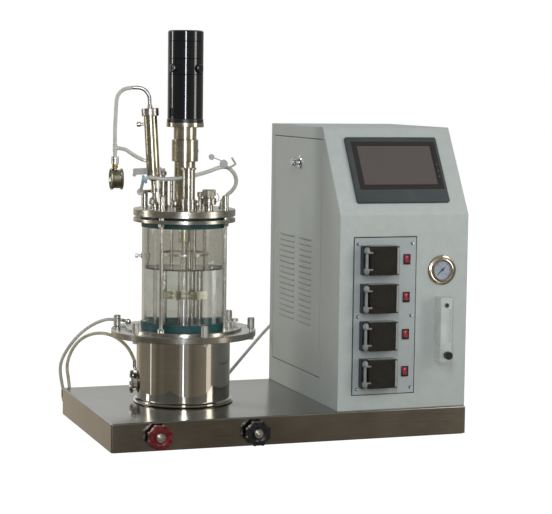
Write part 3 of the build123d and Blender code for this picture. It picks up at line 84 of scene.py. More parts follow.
def worked_metal(name, tints, gloss, stroke, wear=0.05, depth=0.00002):
    """Bare or plated metal: fine strokes of a real length in metres along each axis, over broad
    uneven patches. tints are its darker and lighter colour, gloss its roughness range."""
    material = new_material(name)
    place = add(material, "ShaderNodeTexCoord").outputs["Object"]
    drawn = add(material, "ShaderNodeMapping", {"Vector": place, "Scale": [1 / s for s in stroke]})
    strokes = add(material, "ShaderNodeTexNoise",
                  {"Vector": drawn, "Scale": 1, "Detail": 3, "Roughness": 0.6})
    patches = add(material, "ShaderNodeTexNoise",
                  {"Vector": place, "Scale": 1 / wear, "Detail": 3, "Roughness": 0.5})
    both = add(material, "ShaderNodeMix", {"Factor": 0.45, "A": strokes, "B": patches})
    tone = add(material, "ShaderNodeValToRGB", {"Fac": both})
    shine = add(material, "ShaderNodeMapRange",
                {"Value": both, "From Min": 0.35, "From Max": 0.65, "To Min": gloss[0],
                 "To Max": gloss[1]})
    bump = add(material, "ShaderNodeBump", {"Height": strokes, "Strength": 0.4, "Distance": depth})
    steel = add(material, "ShaderNodeBsdfPrincipled",
                {"Base Color": colour_steps(tone, (0.35, tints[0]), (0.65, tints[1])),
                 "Metallic": 1.0, "Roughness": shine, "Normal": bump})
    add(material, "ShaderNodeOutputMaterial", {"Surface": steel})
    return material


def dress(name, material, crease=28):
    """Gives a CAD node its material, with its round faces smooth and its edges crisp."""
    piece = nodes[name]
    piece.data.materials.clear()
    piece.data.materials.append(material)
    for face in piece.data.polygons:
        face.use_smooth, face.material_index = True, 0
    weld = piece.modifiers.new("weld", "WELD")
    weld.merge_threshold = 0.00001
    crisp = piece.modifiers.new("crisp", "EDGE_SPLIT")
    crisp.split_angle = math.radians(crease)
    return piece


# Linished 304 sheet: strokes about 60 mm long and 0.6 mm apart, drawn coarser than the real grit
# so that they show; the fold lines stay bright
base_sheet = worked_metal("linished stainless sheet", ("#7D786E", "#99948A"), (0.15, 0.24),
                          (0.060, 0.0009, 0.0006), wear=0.09)
dress("base_tray", base_sheet)


# Plumbing in the base: two globe valves behind the front wall, two elbows and a bulkhead
# fitting at the back for the jacket hoses, all in brass with a worn, slightly dull surface.
plumbing_brass = worked_metal("turned brass, handled", ("#8E6C34", "#C9A562"), (0.22, 0.38),
                              (0.004, 0.004, 0.0005), wear=0.012)
dress("base_plumbing", plumbing_brass)


# Hand wheels of the two valves: lobed wheels moulded in phenolic plastic, one red and one black,
# each on its valve stem under a nickel-plated washer and cap nut.
def paint_where(piece, material, test):
    """Gives the faces of a piece for which test(centre) holds one more material."""
    piece.data.materials.append(material)
    for face in piece.data.polygons:
        if test(face.center):
            face.material_index = len(piece.data.materials) - 1


def moulded(name, dark, light, gloss, grain=0.0012, depth=0.00003, fold=0.0, ior=1.5):
    """Moulded plastic or paint: a fine pebbled skin of real grain size under a slight change of
    colour. fold is the radius that sheet's folds are softened to."""
    material = new_material(name)
    place = add(material, "ShaderNodeTexCoord").outputs["Object"]
    skin = add(material, "ShaderNodeTexNoise", {"Vector": place, "Scale": 1 / grain, "Detail": 2})
    cloud = add(material, "ShaderNodeTexNoise",
                {"Vector": place, "Scale": 0.06 / grain, "Detail": 2})
    tone = add(material, "ShaderNodeValToRGB", {"Fac": cloud})
    shine = add(material, "ShaderNodeMapRange",
                {"Value": cloud, "From Min": 0.3, "From Max": 0.7, "To Min": gloss[0],
                 "To Max": gloss[1]})
    bump = add(material, "ShaderNodeBump", {"Height": skin, "Strength": 0.5, "Distance": depth})
    if fold:
        folds = add(material, "ShaderNodeBevel", {"Radius": fold}, samples=4)
        material.node_tree.links.new(folds.outputs["Normal"], bump.inputs["Normal"])
    plastic = add(material, "ShaderNodeBsdfPrincipled",
                  {"Base Color": colour_steps(tone, (0.35, dark), (0.65, light)), "IOR": ior,
                   "Roughness": shine, "Normal": bump})
    add(material, "ShaderNodeOutputMaterial", {"Surface": plastic})
    return material


# Red and black phenolic: hard and evenly glossy over a fine moulded skin
red_phenolic = moulded("red phenolic, moulded", "#500F13", "#70181C", (0.22, 0.36), ior=1.55)
black_phenolic = moulded("black phenolic, moulded", "#0E0E0F", "#1A191B", (0.22, 0.36), ior=1.55)
# Nickel plate: a bright, slightly warm grey
nickel_plate = worked_metal("bright nickel plate", ("#B0ACA4", "#D2CFC7"), (0.24, 0.34),
                            (0.0005, 0.0005, 0.0005), wear=0.008)
NUT_RADIUS, NUT_BACK, STEM_FRONT = 0.0088, -0.2349, -0.2259
for wheel_name, phenolic, wheel_x, wheel_z in (
        ("red_hand_wheel", red_phenolic, -0.2815, 0.030),
        ("black_hand_wheel", black_phenolic, -0.082, 0.028)):
    wheel = dress(wheel_name, phenolic)
    paint_where(wheel, nickel_plate,
                lambda c: math.hypot(c.x - wheel_x, c.z - wheel_z) < NUT_RADIUS
                and (c.y < NUT_BACK or c.y > STEM_FRONT))


# Water jacket: a drum rolled from 2 mm stainless and mirror polished, welded on a double-beaded
# foot, with a clamped side port at its left and a nozzle at each side of its back.
# Mirror polish: hardly a stroke left, so the room shows in upright bands
mirror_drum = worked_metal("mirror-polished stainless, rolled", ("#BBB6AB", "#CBC7BD"),
                           (0.04, 0.07), (0.030, 0.030, 0.0008), wear=0.06, depth=0.000001)
dress("jacket", mirror_drum)


# Inner pot and bolting flange: a dished pot welded under a turned flange, 12.7 mm thick, that
# carries the six studs. The flange's faces and edge are turned, then polished.
# Fine turned rings under the polish: a softer and darker shine than the drum's
turned_flange = worked_metal("turned and polished stainless flange", ("#9F9A8F", "#C6C2B9"),
                             (0.15, 0.26), (0.020, 0.020, 0.0006), wear=0.03, depth=0.00001)
dress("inner_pot", turned_flange)
# Satin nuts: pale and even, with no sharp reflection
satin_nuts = worked_metal("satin stainless nuts", ("#B2AEA4", "#D4D0C7"), (0.34, 0.44),
                          (0.0008, 0.0008, 0.0008), wear=0.008)
dress("flange_nuts", satin_nuts)


# Seals: two channel gaskets that hold the glass's ends and the flat one under the lid, all cut
# from dark teal silicone, which looks matt with a faint bloom.
teal_silicone = moulded("teal silicone rubber", "#0A3738", "#104647", (0.42, 0.58), grain=0.0009,
                        ior=1.42)
dress("gaskets", teal_silicone)


# Vessel glass: a borosilicate tube with 5 mm wall and ground ends, faintly warm along its wall.
# Above the culture its inside is misted with condensation, in droplets 2.5 mm across.
def clear_glass(name, tint, ior, misted_above=None):
    """Clear solid: light passes straight through it to what it holds, and bends for the eye. Its
    faint waves are about 35 mm long."""
    material = new_material(name)
    place = add(material, "ShaderNodeTexCoord").outputs["Object"]
    waves = add(material, "ShaderNodeTexNoise", {"Vector": place, "Scale": 28, "Detail": 1})
    tone = add(material, "ShaderNodeValToRGB", {"Fac": waves})
    colour = colour_steps(tone, (0.3, tint), (0.7, "#FFFFFF"))
    roughness = 0.0
    if misted_above is not None:
        parts = add(material, "ShaderNodeSeparateXYZ", {"Vector": place})
        mist = add(material, "ShaderNodeMapRange", {
            "Value": parts.outputs["Z"], "From Min": misted_above - 0.001,
            "From Max": misted_above + 0.004, "To Min": 0.0, "To Max": 1.0})
        drops = add(material, "ShaderNodeTexVoronoi", {"Vector": place, "Scale": 1 / 0.0025})
        beads = add(material, "ShaderNodeValToRGB", {"Fac": drops})
        wet = colour_steps(beads, (0.15, "#DCDBD5"), (0.6, "#F2F1EC"))
        colour = add(material, "ShaderNodeMix", {"Factor": mist, 6: colour, 7: wet},
                     data_type="RGBA").outputs[2]
        roughness = add(material, "ShaderNodeMath", {0: mist, 1: 0.06}, operation="MULTIPLY")
    solid = add(material, "ShaderNodeBsdfPrincipled",
                {"Base Color": colour, "IOR": ior, "Transmission Weight": 1.0,
                 "Roughness": roughness})
    light = add(material, "ShaderNodeBsdfTransparent", {"Color": (0.92, 0.92, 0.92, 1)})
    ray = add(material, "ShaderNodeLightPath")
    both = add(material, "ShaderNodeMixShader",
               {0: ray.outputs["Is Shadow Ray"], 1: solid, 2: light})
    add(material, "ShaderNodeOutputMaterial", {"Surface": both})
    return material


borosilicate = clear_glass("borosilicate glass tube", "#F4F5F2", 1.47, misted_above=0.3365)
dress("glass_cylinder", borosilicate)


# Upper ring and tie rods: the ring clamps the upper seal, and four rods from the flange run
# through it and the lid, with a nut at each end. Ring turned, rods centreless ground.
# Turning marks blur the ring's reflections, and grinding draws the rods' out along them
turned_ring = worked_metal("turned stainless ring", ("#9C978B", "#C6C1B5"), (0.20, 0.30),
                           (0.016, 0.016, 0.0005), wear=0.02, depth=0.00001)
ground_rod = worked_metal("centreless-ground stainless rod", ("#AEAA9F", "#D3CFC5"), (0.20, 0.28),
                          (0.0006, 0.0006, 0.050), wear=0.015, depth=0.000001)
dress("upper_ring", turned_ring)
dress("tie_rods", ground_rod)


# Inside the vessel: baffle cage, dip tubes and shaft in electropolished stainless, which is
# bright but slightly soft, and two disc impellers, welded and pickled, which are duller.
electropolished = worked_metal("electropolished stainless", ("#B4B0A6", "#DAD7CF"), (0.16, 0.26),
                               (0.0010, 0.0010, 0.0010), wear=0.02, depth=0.00001)
for inner_piece in ("baffle_cage", "dip_tubes", "stirrer_shaft"):
    dress(inner_piece, electropolished)
dress("impellers", worked_metal("pickled stainless impellers", ("#87836F", "#A9A48E"), (0.28, 0.38),
                                (0.0015, 0.0015, 0.0015), wear=0.012))


# Culture: a clear watery medium that wets everything in the pot and the glass, up to a level a
# little over the middle of the glass, where it climbs the wall in a meniscus.
VESSEL_AXIS = (-0.167, 0.005)


def lathe(outline, steps=96, centre=VESSEL_AXIS):
    """Closed solid turned about an upright axis from (radius, height) points in metres."""
    turned = bmesh.new()
    rim = [turned.verts.new((centre[0] + r, centre[1], z)) for r, z in outline]
    edges = [turned.edges.new(pair) for pair in zip(rim, rim[1:])]
    bmesh.ops.spin(turned, geom=rim + edges, cent=(*centre, 0), axis=(0, 0, 1),
                   angle=2 * math.pi, steps=steps, use_merge=True, use_duplicate=False)
    bmesh.ops.remove_doubles(turned, verts=turned.verts, dist=0.000001)
    bmesh.ops.recalc_face_normals(turned, faces=turned.faces)
    return turned


def finish_piece(name, shape, material, body, slot_name, *stands_for, crease=30):
    """Makes a shape an object of the model, smooth but for its edges, on its body. Its slot_name is
    not used.
    """
    mesh = bpy.data.meshes.new(name)
    for face in shape.faces:
        face.smooth = True
    for edge in shape.edges:
        edge.smooth = len(edge.link_faces) == 2 and edge.calc_face_angle(0) < math.radians(crease)
    shape.to_mesh(mesh)
    shape.free()
    mesh.materials.append(material)
    piece = bpy.data.objects.new(name, mesh)
    bpy.context.scene.collection.objects.link(piece)
    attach(piece, body)
    if stands_for:
        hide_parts(*stands_for)
    return piece


# Its outline: the pot's dished floor and wall, the wider glass from 0.2255 m up, the meniscus
clear_broth = clear_glass("clear culture broth", "#FAFAF6", 1.33)
broth = lathe([(0, 0.0834), (0.030, 0.0846), (0.060, 0.0886), (0.0748, 0.0932), (0.0797, 0.098),
               (0.0797, 0.225), (0.0813, 0.2255), (0.0813, 0.3382), (0.0809, 0.3368),
               (0.0800, 0.3353), (0.0782, 0.3343), (0.0745, 0.334), (0, 0.334)])
finish_piece("culture_broth", broth, clear_broth, "frame", "culture", "culture_liquid")


# Drive: bearing housing, sleeve with set screws, coupling and adapter, all turned from
# stainless bar and polished on the lathe, so their fine rings run round them.
lathe_polished = worked_metal("lathe-polished stainless bar", ("#A69F8B", "#CCC6B0"), (0.17, 0.27),
                              (0.020, 0.020, 0.0004), wear=0.02, depth=0.000004)
for drive_piece in ("bearing_housing", "drive_sleeve", "shaft_coupling", "motor_adapter"):
    dress(drive_piece, lathe_polished)


# Motor: a long round servo motor, black anodised and sealed to a deep gloss, with four slotted
# phenolic caps over its brushes.
gloss_black = moulded("gloss black anodised aluminium", "#0A0B0E", "#0D0F12", (0.05, 0.09),
                      grain=0.0004, depth=0.000001, ior=1.6)
motor_tube = dress("motor", gloss_black)
CAPS_FROM = 0.0367
paint_where(motor_tube, black_phenolic,
            lambda c: math.hypot(c.x - VESSEL_AXIS[0], c.y - VESSEL_AXIS[1]) > CAPS_FROM)


# Lid: a plate 14 mm thick turned from stainless with the port necks welded on it, and the
# screwed fittings, blanking nuts and rear elbow on those necks.
dress("lid", turned_ring)
# Satin bar: warm grey, its reflections blurred to soft bands
satin_bar = worked_metal("satin stainless fittings", ("#938C7E", "#B9B2A2"), (0.26, 0.38),
                         (0.012, 0.012, 0.0004), wear=0.012, depth=0.000006)
dress("lid_fittings", satin_bar)
dress("inoculation_cap", satin_bar)


# Exhaust condenser: a polished stainless body on a union nut and cone, a screwed cap with the
# bent vent pipe, and a grey plastic clip snapped round it.
dress("condenser", lathe_polished)
# A slightly pinker satin on the cap, and nylon with a faint waxy shine on the clip
satin_cap = worked_metal("satin stainless cap", ("#A39A95", "#C2B9B4"), (0.26, 0.36),
                         (0.012, 0.012, 0.0004), wear=0.01)
dress("condenser_cap", satin_cap)
grey_clip = moulded("grey nylon", "#8B8A80", "#A09F94", (0.36, 0.48), ior=1.53)
dress("condenser_clip", grey_clip)


# Small pressure gauge: a brass case, lacquered and browned, with a printed dial behind a
# pressed-in lens. It hangs on a brass stem and a nickel-plated nut from a grey nylon tee.
def printed_dial(name, paper, shade, ink, centre, across, radius, divisions):
    """Dial printed on card behind a glossy lens: an arc over three quarters of a turn, with long
    ticks at its divisions and short ones between them."""
    material = new_material(name)
    place = add(material, "ShaderNodeTexCoord").outputs["Object"]
    out = add(material, "ShaderNodeVectorMath", {0: place, 1: centre}, operation="SUBTRACT")
    far = add(material, "ShaderNodeVectorMath", {0: out}, operation="LENGTH").outputs["Value"]
    side = add(material, "ShaderNodeVectorMath", {0: out, 1: across}, operation="DOT_PRODUCT")
    high = add(material, "ShaderNodeSeparateXYZ", {"Vector": out}).outputs["Z"]
    angle = add(material, "ShaderNodeMath", {0: side.outputs["Value"], 1: high},
                operation="ARCTAN2")

    def ticks(step, inner, outer, width):
        """Ticks a step of angle apart, from an inner to an outer radius."""
        steps = add(material, "ShaderNodeMath", {0: angle, 1: step}, operation="DIVIDE")
        shifted = add(material, "ShaderNodeMath", {0: steps, 1: 0.5}, operation="ADD")
        part = add(material, "ShaderNodeMath", {0: shifted}, operation="FRACT")
        from_tick = add(material, "ShaderNodeMath", {0: part, 1: 0.5}, operation="SUBTRACT")
        off = add(material, "ShaderNodeMath", {0: from_tick}, operation="ABSOLUTE")
        turned = add(material, "ShaderNodeMath", {0: off, 1: step}, operation="MULTIPLY")
        beside = add(material, "ShaderNodeMath", {0: turned, 1: far}, operation="MULTIPLY")
        thin = add(material, "ShaderNodeMath", {0: beside, 1: width / 2}, operation="LESS_THAN")
        along = add(material, "ShaderNodeMath",
                    {0: far, 1: (inner + outer) / 2, 2: (outer - inner) / 2}, operation="COMPARE")
        return add(material, "ShaderNodeMath", {0: thin, 1: along}, operation="MINIMUM")

    step, outer = math.radians(270 / divisions), 0.92 * radius
    long_ticks = ticks(step, 0.74 * radius, outer, 0.0006)
    short_ticks = ticks(step / 5, 0.84 * radius, outer, 0.0003)
    marks = add(material, "ShaderNodeMath", {0: long_ticks, 1: short_ticks}, operation="MAXIMUM")
    arc = add(material, "ShaderNodeMath", {0: far, 1: outer, 2: 0.00015}, operation="COMPARE")
    marks = add(material, "ShaderNodeMath", {0: marks, 1: arc}, operation="MAXIMUM")
    turn = add(material, "ShaderNodeMath", {0: angle}, operation="ABSOLUTE")
    swept = add(material, "ShaderNodeMath", {0: turn, 1: math.radians(135.5)},
                operation="LESS_THAN")
    marks = add(material, "ShaderNodeMath", {0: marks, 1: swept}, operation="MULTIPLY")
    cloud = add(material, "ShaderNodeTexNoise", {"Vector": place, "Scale": 60, "Detail": 1})
    tone = add(material, "ShaderNodeValToRGB", {"Fac": cloud})
    card = colour_steps(tone, (0.35, shade), (0.65, paper))
    print_on = add(material, "ShaderNodeMix", {"Factor": marks, 6: card, 7: linear(ink)},
                   data_type="RGBA")
    face = add(material, "ShaderNodeBsdfPrincipled",
               {"Base Color": print_on.outputs[2], "Roughness": 0.5, "Coat Weight": 1.0,
                "Coat Roughness": 0.04})
    add(material, "ShaderNodeOutputMaterial", {"Surface": face})
    return material


# Brass browned under its lacquer, a cleaner brass stem, and nylon with a faint waxy shine
case_brass = worked_metal("browned brass case", ("#7A755F", "#A39E88"), (0.24, 0.34),
                          (0.010, 0.010, 0.0004), wear=0.008)
stem_brass = worked_metal("turned brass stem", ("#7A6130", "#B79A5C"), (0.2, 0.3),
                          (0.006, 0.006, 0.0004), wear=0.008)
tee_nylon = moulded("pale grey nylon tee", "#A3A298", "#B5B4AA", (0.3, 0.42), ior=1.53)
LID_TURN, GAUGE_TURN = math.radians(16.4), math.radians(78)
TEE_FOOT, NUT_FOOT, STEM_FOOT = 0.561, 0.5455, 0.538
CARD_DEPTH, SMALL_CARD_RADIUS = 0.00855, 0.0178
lid_right = Vector((math.cos(LID_TURN), -math.sin(LID_TURN), 0))
lid_front = Vector((-math.sin(LID_TURN), -math.cos(LID_TURN), 0))
gauge_out = lid_front * math.cos(GAUGE_TURN) - lid_right * math.sin(GAUGE_TURN)
gauge_across = Vector((0, 0, 1)).cross(gauge_out)
gauge_middle = Vector((*VESSEL_AXIS, 0.5157)) - lid_right * 0.1395 + lid_front * 0.008
dial_middle = gauge_middle + gauge_out * CARD_DEPTH
small_dial = printed_dial("printed dial, small gauge", "#D9DAD6", "#CBCCC8", "#23262A",
                          dial_middle, gauge_across, SMALL_CARD_RADIUS, divisions=6)
small_gauge = dress("vessel_gauge", case_brass)
paint_where(small_gauge, tee_nylon, lambda c: c.z > TEE_FOOT)
paint_where(small_gauge, nickel_plate, lambda c: NUT_FOOT < c.z <= TEE_FOOT)
paint_where(small_gauge, stem_brass, lambda c: STEM_FOOT < c.z <= NUT_FOOT)
paint_where(small_gauge, small_dial, lambda c: abs((c - dial_middle).dot(gauge_out)) < 0.0001
            and (c - dial_middle).length < SMALL_CARD_RADIUS)
# Satin black paint
pointer_paint = moulded("black pointer paint", "#0C0C0D", "#161617", (0.38, 0.5), grain=0.0006)
dress("vessel_gauge_pointer", pointer_paint)


# Vent, branch and lid hoses: clear silicone hose with a milky wall, pushed over the vent pipe,
# the gauge's tee, the condenser's nipple and the lid's barb.
def soft_clear(name, milk, shade, gloss=0.28, through=0.35):
    """Translucent rubber or plastic: a milky wall whose cloudiness drifts over about 30 mm."""
    material = new_material(name)
    place = add(material, "ShaderNodeTexCoord").outputs["Object"]
    cloud = add(material, "ShaderNodeTexNoise", {"Vector": place, "Scale": 35, "Detail": 1})
    tone = add(material, "ShaderNodeValToRGB", {"Fac": cloud})
    wall = add(material, "ShaderNodeBsdfPrincipled",
               {"Base Color": colour_steps(tone, (0.35, shade), (0.65, milk)), "IOR": 1.41,
                "Roughness": gloss, "Transmission Weight": through})
    add(material, "ShaderNodeOutputMaterial", {"Surface": wall})
    return material


clear_silicone = soft_clear("clear silicone hose", "#D6D4C9", "#C4C2B6")


def on_lid(points):
    """Route given as right, front and height on the turned lid, as points of the model."""
    return [(VESSEL_AXIS[0] + right * math.cos(LID_TURN) - front * math.sin(LID_TURN),
             VESSEL_AXIS[1] - right * math.sin(LID_TURN) - front * math.cos(LID_TURN), height)
            for right, front, height in points]


def hose(stands_for, route, diameter, material):
    """Free hose on one smooth line through its route, in the place of its CAD solid."""
    name = f"{stands_for}_silicone"
    curve = bpy.data.curves.new(name, "CURVE")
    curve.dimensions = "3D"
    curve.bevel_depth, curve.bevel_resolution = diameter / 2, 6
    curve.resolution_u, curve.render_resolution_u = 16, 16
    curve.use_fill_caps = True
    line = curve.splines.new("NURBS")
    line.points.add(len(route) - 1)
    for point, place in zip(line.points, route):
        point.co = (*place, 1)
    line.order_u, line.use_endpoint_u = 3, True
    curve.materials.append(material)
    piece = bpy.data.objects.new(name, curve)
    bpy.context.scene.collection.objects.link(piece)
    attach(piece, "frame")
    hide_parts(stands_for)
    return piece


vent_route = on_lid([(-0.107, 0.008, 0.7019), (-0.121, 0.008, 0.7008), (-0.1327, 0.008, 0.6932),
                     (-0.1395, 0.008, 0.681), (-0.1406, 0.008, 0.661), (-0.1418, 0.0083, 0.637),
                     (-0.1429, 0.0082, 0.611), (-0.1424, 0.008, 0.5867)])
vent_hose = hose("vent_hose", vent_route, 0.0076, clear_silicone)

branch_route = on_lid([(-0.1364, 0.008, 0.5787), (-0.1222, 0.008, 0.5776), (-0.110, 0.008, 0.5685),
                       (-0.096, 0.008, 0.5598), (-0.0835, 0.008, 0.5545)])
branch_hose = hose("branch_hose", branch_route, 0.0076, clear_silicone)

lid_route = on_lid([(-0.072, 0.031, 0.5215), (-0.054, 0.033, 0.5184), (-0.035, 0.0335, 0.5178),
                    (-0.0016, 0.033, 0.5205), (0.0241, 0.030, 0.5265), (0.050, 0.023, 0.534),
                    (0.070, 0.015, 0.542), (0.084, 0.010, 0.5434), (0.096, 0.005, 0.5365),
                    (0.1045, 0.001, 0.524), (0.1065, -0.003, 0.5085), (0.099, -0.006, 0.494),
                    (0.086, -0.008, 0.4835), (0.0755, -0.0085, 0.470)])
lid_hose = hose("lid_hose", lid_route, 0.008, clear_silicone)
dress("pinch_clip", grey_clip)
# A clear, slightly milky acrylic connector with a light blue nylon ring pressed on it
clear_acrylic = soft_clear("clear acrylic connector", "#DCDBD4", "#CBCAC3", 0.14, 0.3)
connector = dress("lid_connector", clear_acrylic)
blue_ring = moulded("light blue nylon ring", "#7FA6BE", "#9CC0D2", (0.3, 0.42), ior=1.53)
ring_ends = [Vector(end) for end in on_lid([(-0.083, 0.029, 0.5161), (-0.0802, 0.0295, 0.5175)])]
ring_axis = (ring_ends[1] - ring_ends[0]).normalized()
RING_MIDDLE, RING_HALF_WIDTH, RING_BORE = 0.0016, 0.0019, 0.0044
paint_where(connector, blue_ring,
            lambda c: abs((c - ring_ends[0]).dot(ring_axis) - RING_MIDDLE) < RING_HALF_WIDTH
            and ring_axis.cross(c - ring_ends[0]).length > RING_BORE)


# Jacket hoses: milky grey and yellowed hose from the base's rear elbows up to the flange and
# the drum, and a long one, taut, from the drum's right across to the cabinet's back.
yellow_silicone = soft_clear("yellowed silicone hose", "#DEDABF", "#BFB98F")

outer_route = [(-0.273, 0.098, 0.216), (-0.289, 0.110, 0.217), (-0.305, 0.126, 0.215),
               (-0.329, 0.150, 0.200), (-0.351, 0.176, 0.175), (-0.368, 0.202, 0.143),
               (-0.377, 0.225, 0.112), (-0.375, 0.239, 0.082), (-0.368, 0.239, 0.050)]
outer_hose = hose("outer_jacket_hose", outer_route, 0.007, clear_silicone)

inner_route = [(-0.2565, 0.0609, 0.135), (-0.261, 0.073, 0.153), (-0.273, 0.095, 0.171),
               (-0.291, 0.126, 0.183), (-0.315, 0.152, 0.184), (-0.338, 0.178, 0.172),
               (-0.353, 0.202, 0.149), (-0.361, 0.221, 0.121), (-0.361, 0.236, 0.096),
               (-0.356, 0.2395, 0.072), (-0.354, 0.239, 0.050)]
inner_hose = hose("inner_jacket_hose", inner_route, 0.007, yellow_silicone)

right_route = [(-0.0711, 0.0407, 0.0865), (-0.057, 0.0575, 0.094), (0.110, 0.254, 0.1755),
               (0.1252, 0.2589, 0.178), (0.1407, 0.2551, 0.1795), (0.1518, 0.2436, 0.180),
               (0.1547, 0.2299, 0.1795)]
right_hose = hose("right_jacket_hose", right_route, 0.007, clear_silicone)


# Cabinet: folded 2 mm steel sheet with a sloped upper front, powder coated pale grey-green in a
# fine satin texture. The gap round its louvred side panel is painted shade; its lock is chromed.
powder_coat = moulded("grey-green powder coat", "#A5AAA4", "#A9AEA8", (0.34, 0.42), grain=0.0011,
                      fold=0.003)
dress("cabinet_shell", powder_coat)
# Chrome plate: bluish and almost as clear as a mirror
bright_chrome = worked_metal("chrome plate", ("#C6C8CA", "#D4D6D8"), (0.05, 0.09),
                             (0.0008, 0.0008, 0.0008), wear=0.01, depth=0.000002)
SIDE_FACE, LOCK_AT, LOCK_RADIUS = 0.09435, (0.031, 0.5495), 0.014
side_sheet = dress("side_panel", powder_coat)
paint_where(side_sheet, bright_chrome, lambda c: c.x < SIDE_FACE
            and math.hypot(c.y - LOCK_AT[0], c.z - LOCK_AT[1]) < LOCK_RADIUS)
dress("panel_lock", bright_chrome)


def seal_ring(name, width, tall, strip, depth, turn, middle):
    """Thin black frame of painted shade, its outer width and height, turned and moved to its sheet.
    """
    ring = bmesh.new()
    bmesh.ops.create_grid(ring, x_segments=1, y_segments=1, size=0.5)
    bmesh.ops.scale(ring, vec=(width, tall, 1), verts=ring.verts)
    bmesh.ops.inset_region(ring, faces=ring.faces[:], thickness=strip, use_boundary=True,
                           use_even_offset=True)
    pane = min(ring.faces, key=lambda face: face.calc_center_median().length)
    bmesh.ops.delete(ring, geom=[pane], context="FACES_ONLY")
    bmesh.ops.solidify(ring, geom=ring.faces[:], thickness=depth)
    bmesh.ops.rotate(ring, verts=ring.verts, cent=(0, 0, 0), matrix=turn)
    bmesh.ops.translate(ring, verts=ring.verts, vec=middle)
    bmesh.ops.recalc_face_normals(ring, faces=ring.faces)
    return finish_piece(name, ring, black_rubber, "frame", "black_plastic")


# Matt black as painted shade: thin dark lines in the panels' gaps, and the plug's bore
black_rubber = moulded("matt black, painted shade", "#17130F", "#241D17", (0.5, 0.62), grain=0.0008)
FACING_SIDE = Matrix(((0, 0, 1), (1, 0, 0), (0, 1, 0)))
# The side panel's dark gap: painted shade, as a thin black frame in it
seal_ring("side_panel_gap_shade", width=0.2941, tall=0.4926, strip=0.00105, depth=0.0012,
          turn=FACING_SIDE, middle=(0.0961, 0.0475, 0.35575))


# Pumps: four peristaltic pumps on a plate of the same finish, held by six chromed screws. Each
# has a black moulded body, a rotor with six rollers, a tube in clear grey fittings and a smoked
# clear cover with a grip along its right edge.
plate_coat = moulded("grey-green powder coat, pump plate", "#999F9C", "#9DA3A0", (0.34, 0.42),
                     grain=0.0011)
plate = dress("pump_panel", plate_coat)
SCREWS = [(0.1329, 0.396), (0.2509, 0.396), (0.1338, 0.2495), (0.2514, 0.2492), (0.1344, 0.102),
          (0.2524, 0.102)]
PLATE_FRONT, SCREW_RADIUS = -0.20755, 0.0045
paint_where(plate, bright_chrome, lambda c: c.y < PLATE_FRONT
            and min(math.hypot(c.x - x, c.z - z) for x, z in SCREWS) < SCREW_RADIUS)
FACING_FRONT = Matrix(((1, 0, 0), (0, 0, -1), (0, 1, 0)))
# The pump plate's dark gap: painted shade, as a thin black frame round it
seal_ring("pump_panel_gap_shade", width=0.1374, tall=0.3212, strip=0.00145, depth=0.0013,
          turn=FACING_FRONT, middle=(0.19265, -0.2062, 0.24935))
# ABS from a finely textured mould: dark and satin
black_abs = moulded("black ABS, moulded", "#15161A", "#20222A", (0.30, 0.42), grain=0.0010,
                    ior=1.54)
dress("pump_bodies", black_abs)
# The tubes look milky grey, their nylon fittings clearer, and the rotors a warm mid grey
pump_silicone = soft_clear("pump tube, silicone", "#8C8B82", "#7A7970", 0.3, 0.2)
pump_tubes = dress("pump_tubes", pump_silicone)
clear_nylon = soft_clear("clear grey nylon fittings", "#AEB0AA", "#9DA09A", 0.24, 0.5)
FITTINGS_RIGHT, TUBE_FRONT = 0.1503, -0.2315
paint_where(pump_tubes, clear_nylon, lambda c: c.x < FITTINGS_RIGHT or c.y < TUBE_FRONT)
rotor_nylon = moulded("grey nylon rotor", "#6A6760", "#7B7870", (0.3, 0.4), ior=1.53)
for number in range(1, 5):
    dress(f"pump_rotor_{number}", rotor_nylon)


def smoked_cover(name, shade, tint, dust):
    """Smoked acrylic, dark but thin enough to show what moves behind it. Its upward faces are
    painted paler in specks of 5 mm and less, as a painted reflection."""
    material = new_material(name)
    place = add(material, "ShaderNodeTexCoord").outputs["Object"]
    facing = add(material, "ShaderNodeNewGeometry").outputs["Normal"]
    upward = add(material, "ShaderNodeSeparateXYZ", {"Vector": facing}).outputs["Z"]
    # Painted reflection: the upward faces are lightened in specks
    settled = add(material, "ShaderNodeTexNoise", {"Vector": place, "Scale": 180, "Detail": 3})
    on_top = add(material, "ShaderNodeMath", {0: upward, 1: 0.85}, operation="GREATER_THAN")
    thick = add(material, "ShaderNodeMath", {0: settled, 1: 0.25}, operation="ADD")
    dusty = add(material, "ShaderNodeMath", {0: on_top, 1: thick}, operation="MULTIPLY")
    colour = add(material, "ShaderNodeMix", {"Factor": dusty, 6: linear(shade), 7: linear(dust)},
                 data_type="RGBA")
    shell = add(material, "ShaderNodeBsdfPrincipled",
                {"Base Color": colour.outputs[2], "IOR": 1.49, "Roughness": 0.12})
    seen = add(material, "ShaderNodeBsdfTransparent", {"Color": linear(tint)})
    clean = add(material, "ShaderNodeMath", {0: 1.0, 1: dusty}, operation="SUBTRACT")
    show = add(material, "ShaderNodeMath", {0: clean, 1: 0.62}, operation="MULTIPLY")
    both = add(material, "ShaderNodeMixShader", {0: show, 1: shell, 2: seen})
    add(material, "ShaderNodeOutputMaterial", {"Surface": both})
    return material


# Its paler top colour is a painted reflection
smoked_acrylic = smoked_cover("smoked acrylic cover, painted top sheen", "#3A3732", "#CFCDC9", "#A3A19B")
covers = dress("pump_covers", smoked_acrylic)
# Pale grey grips with a fine moulded skin
grip_grey = moulded("pale grey grip, moulded", "#8B8985", "#97958F", (0.34, 0.46), ior=1.53)
GRIP_LEFT, COVER_FRONT = 0.2082, -0.2321
paint_where(covers, grip_grey, lambda c: c.x > GRIP_LEFT and c.y < COVER_FRONT)
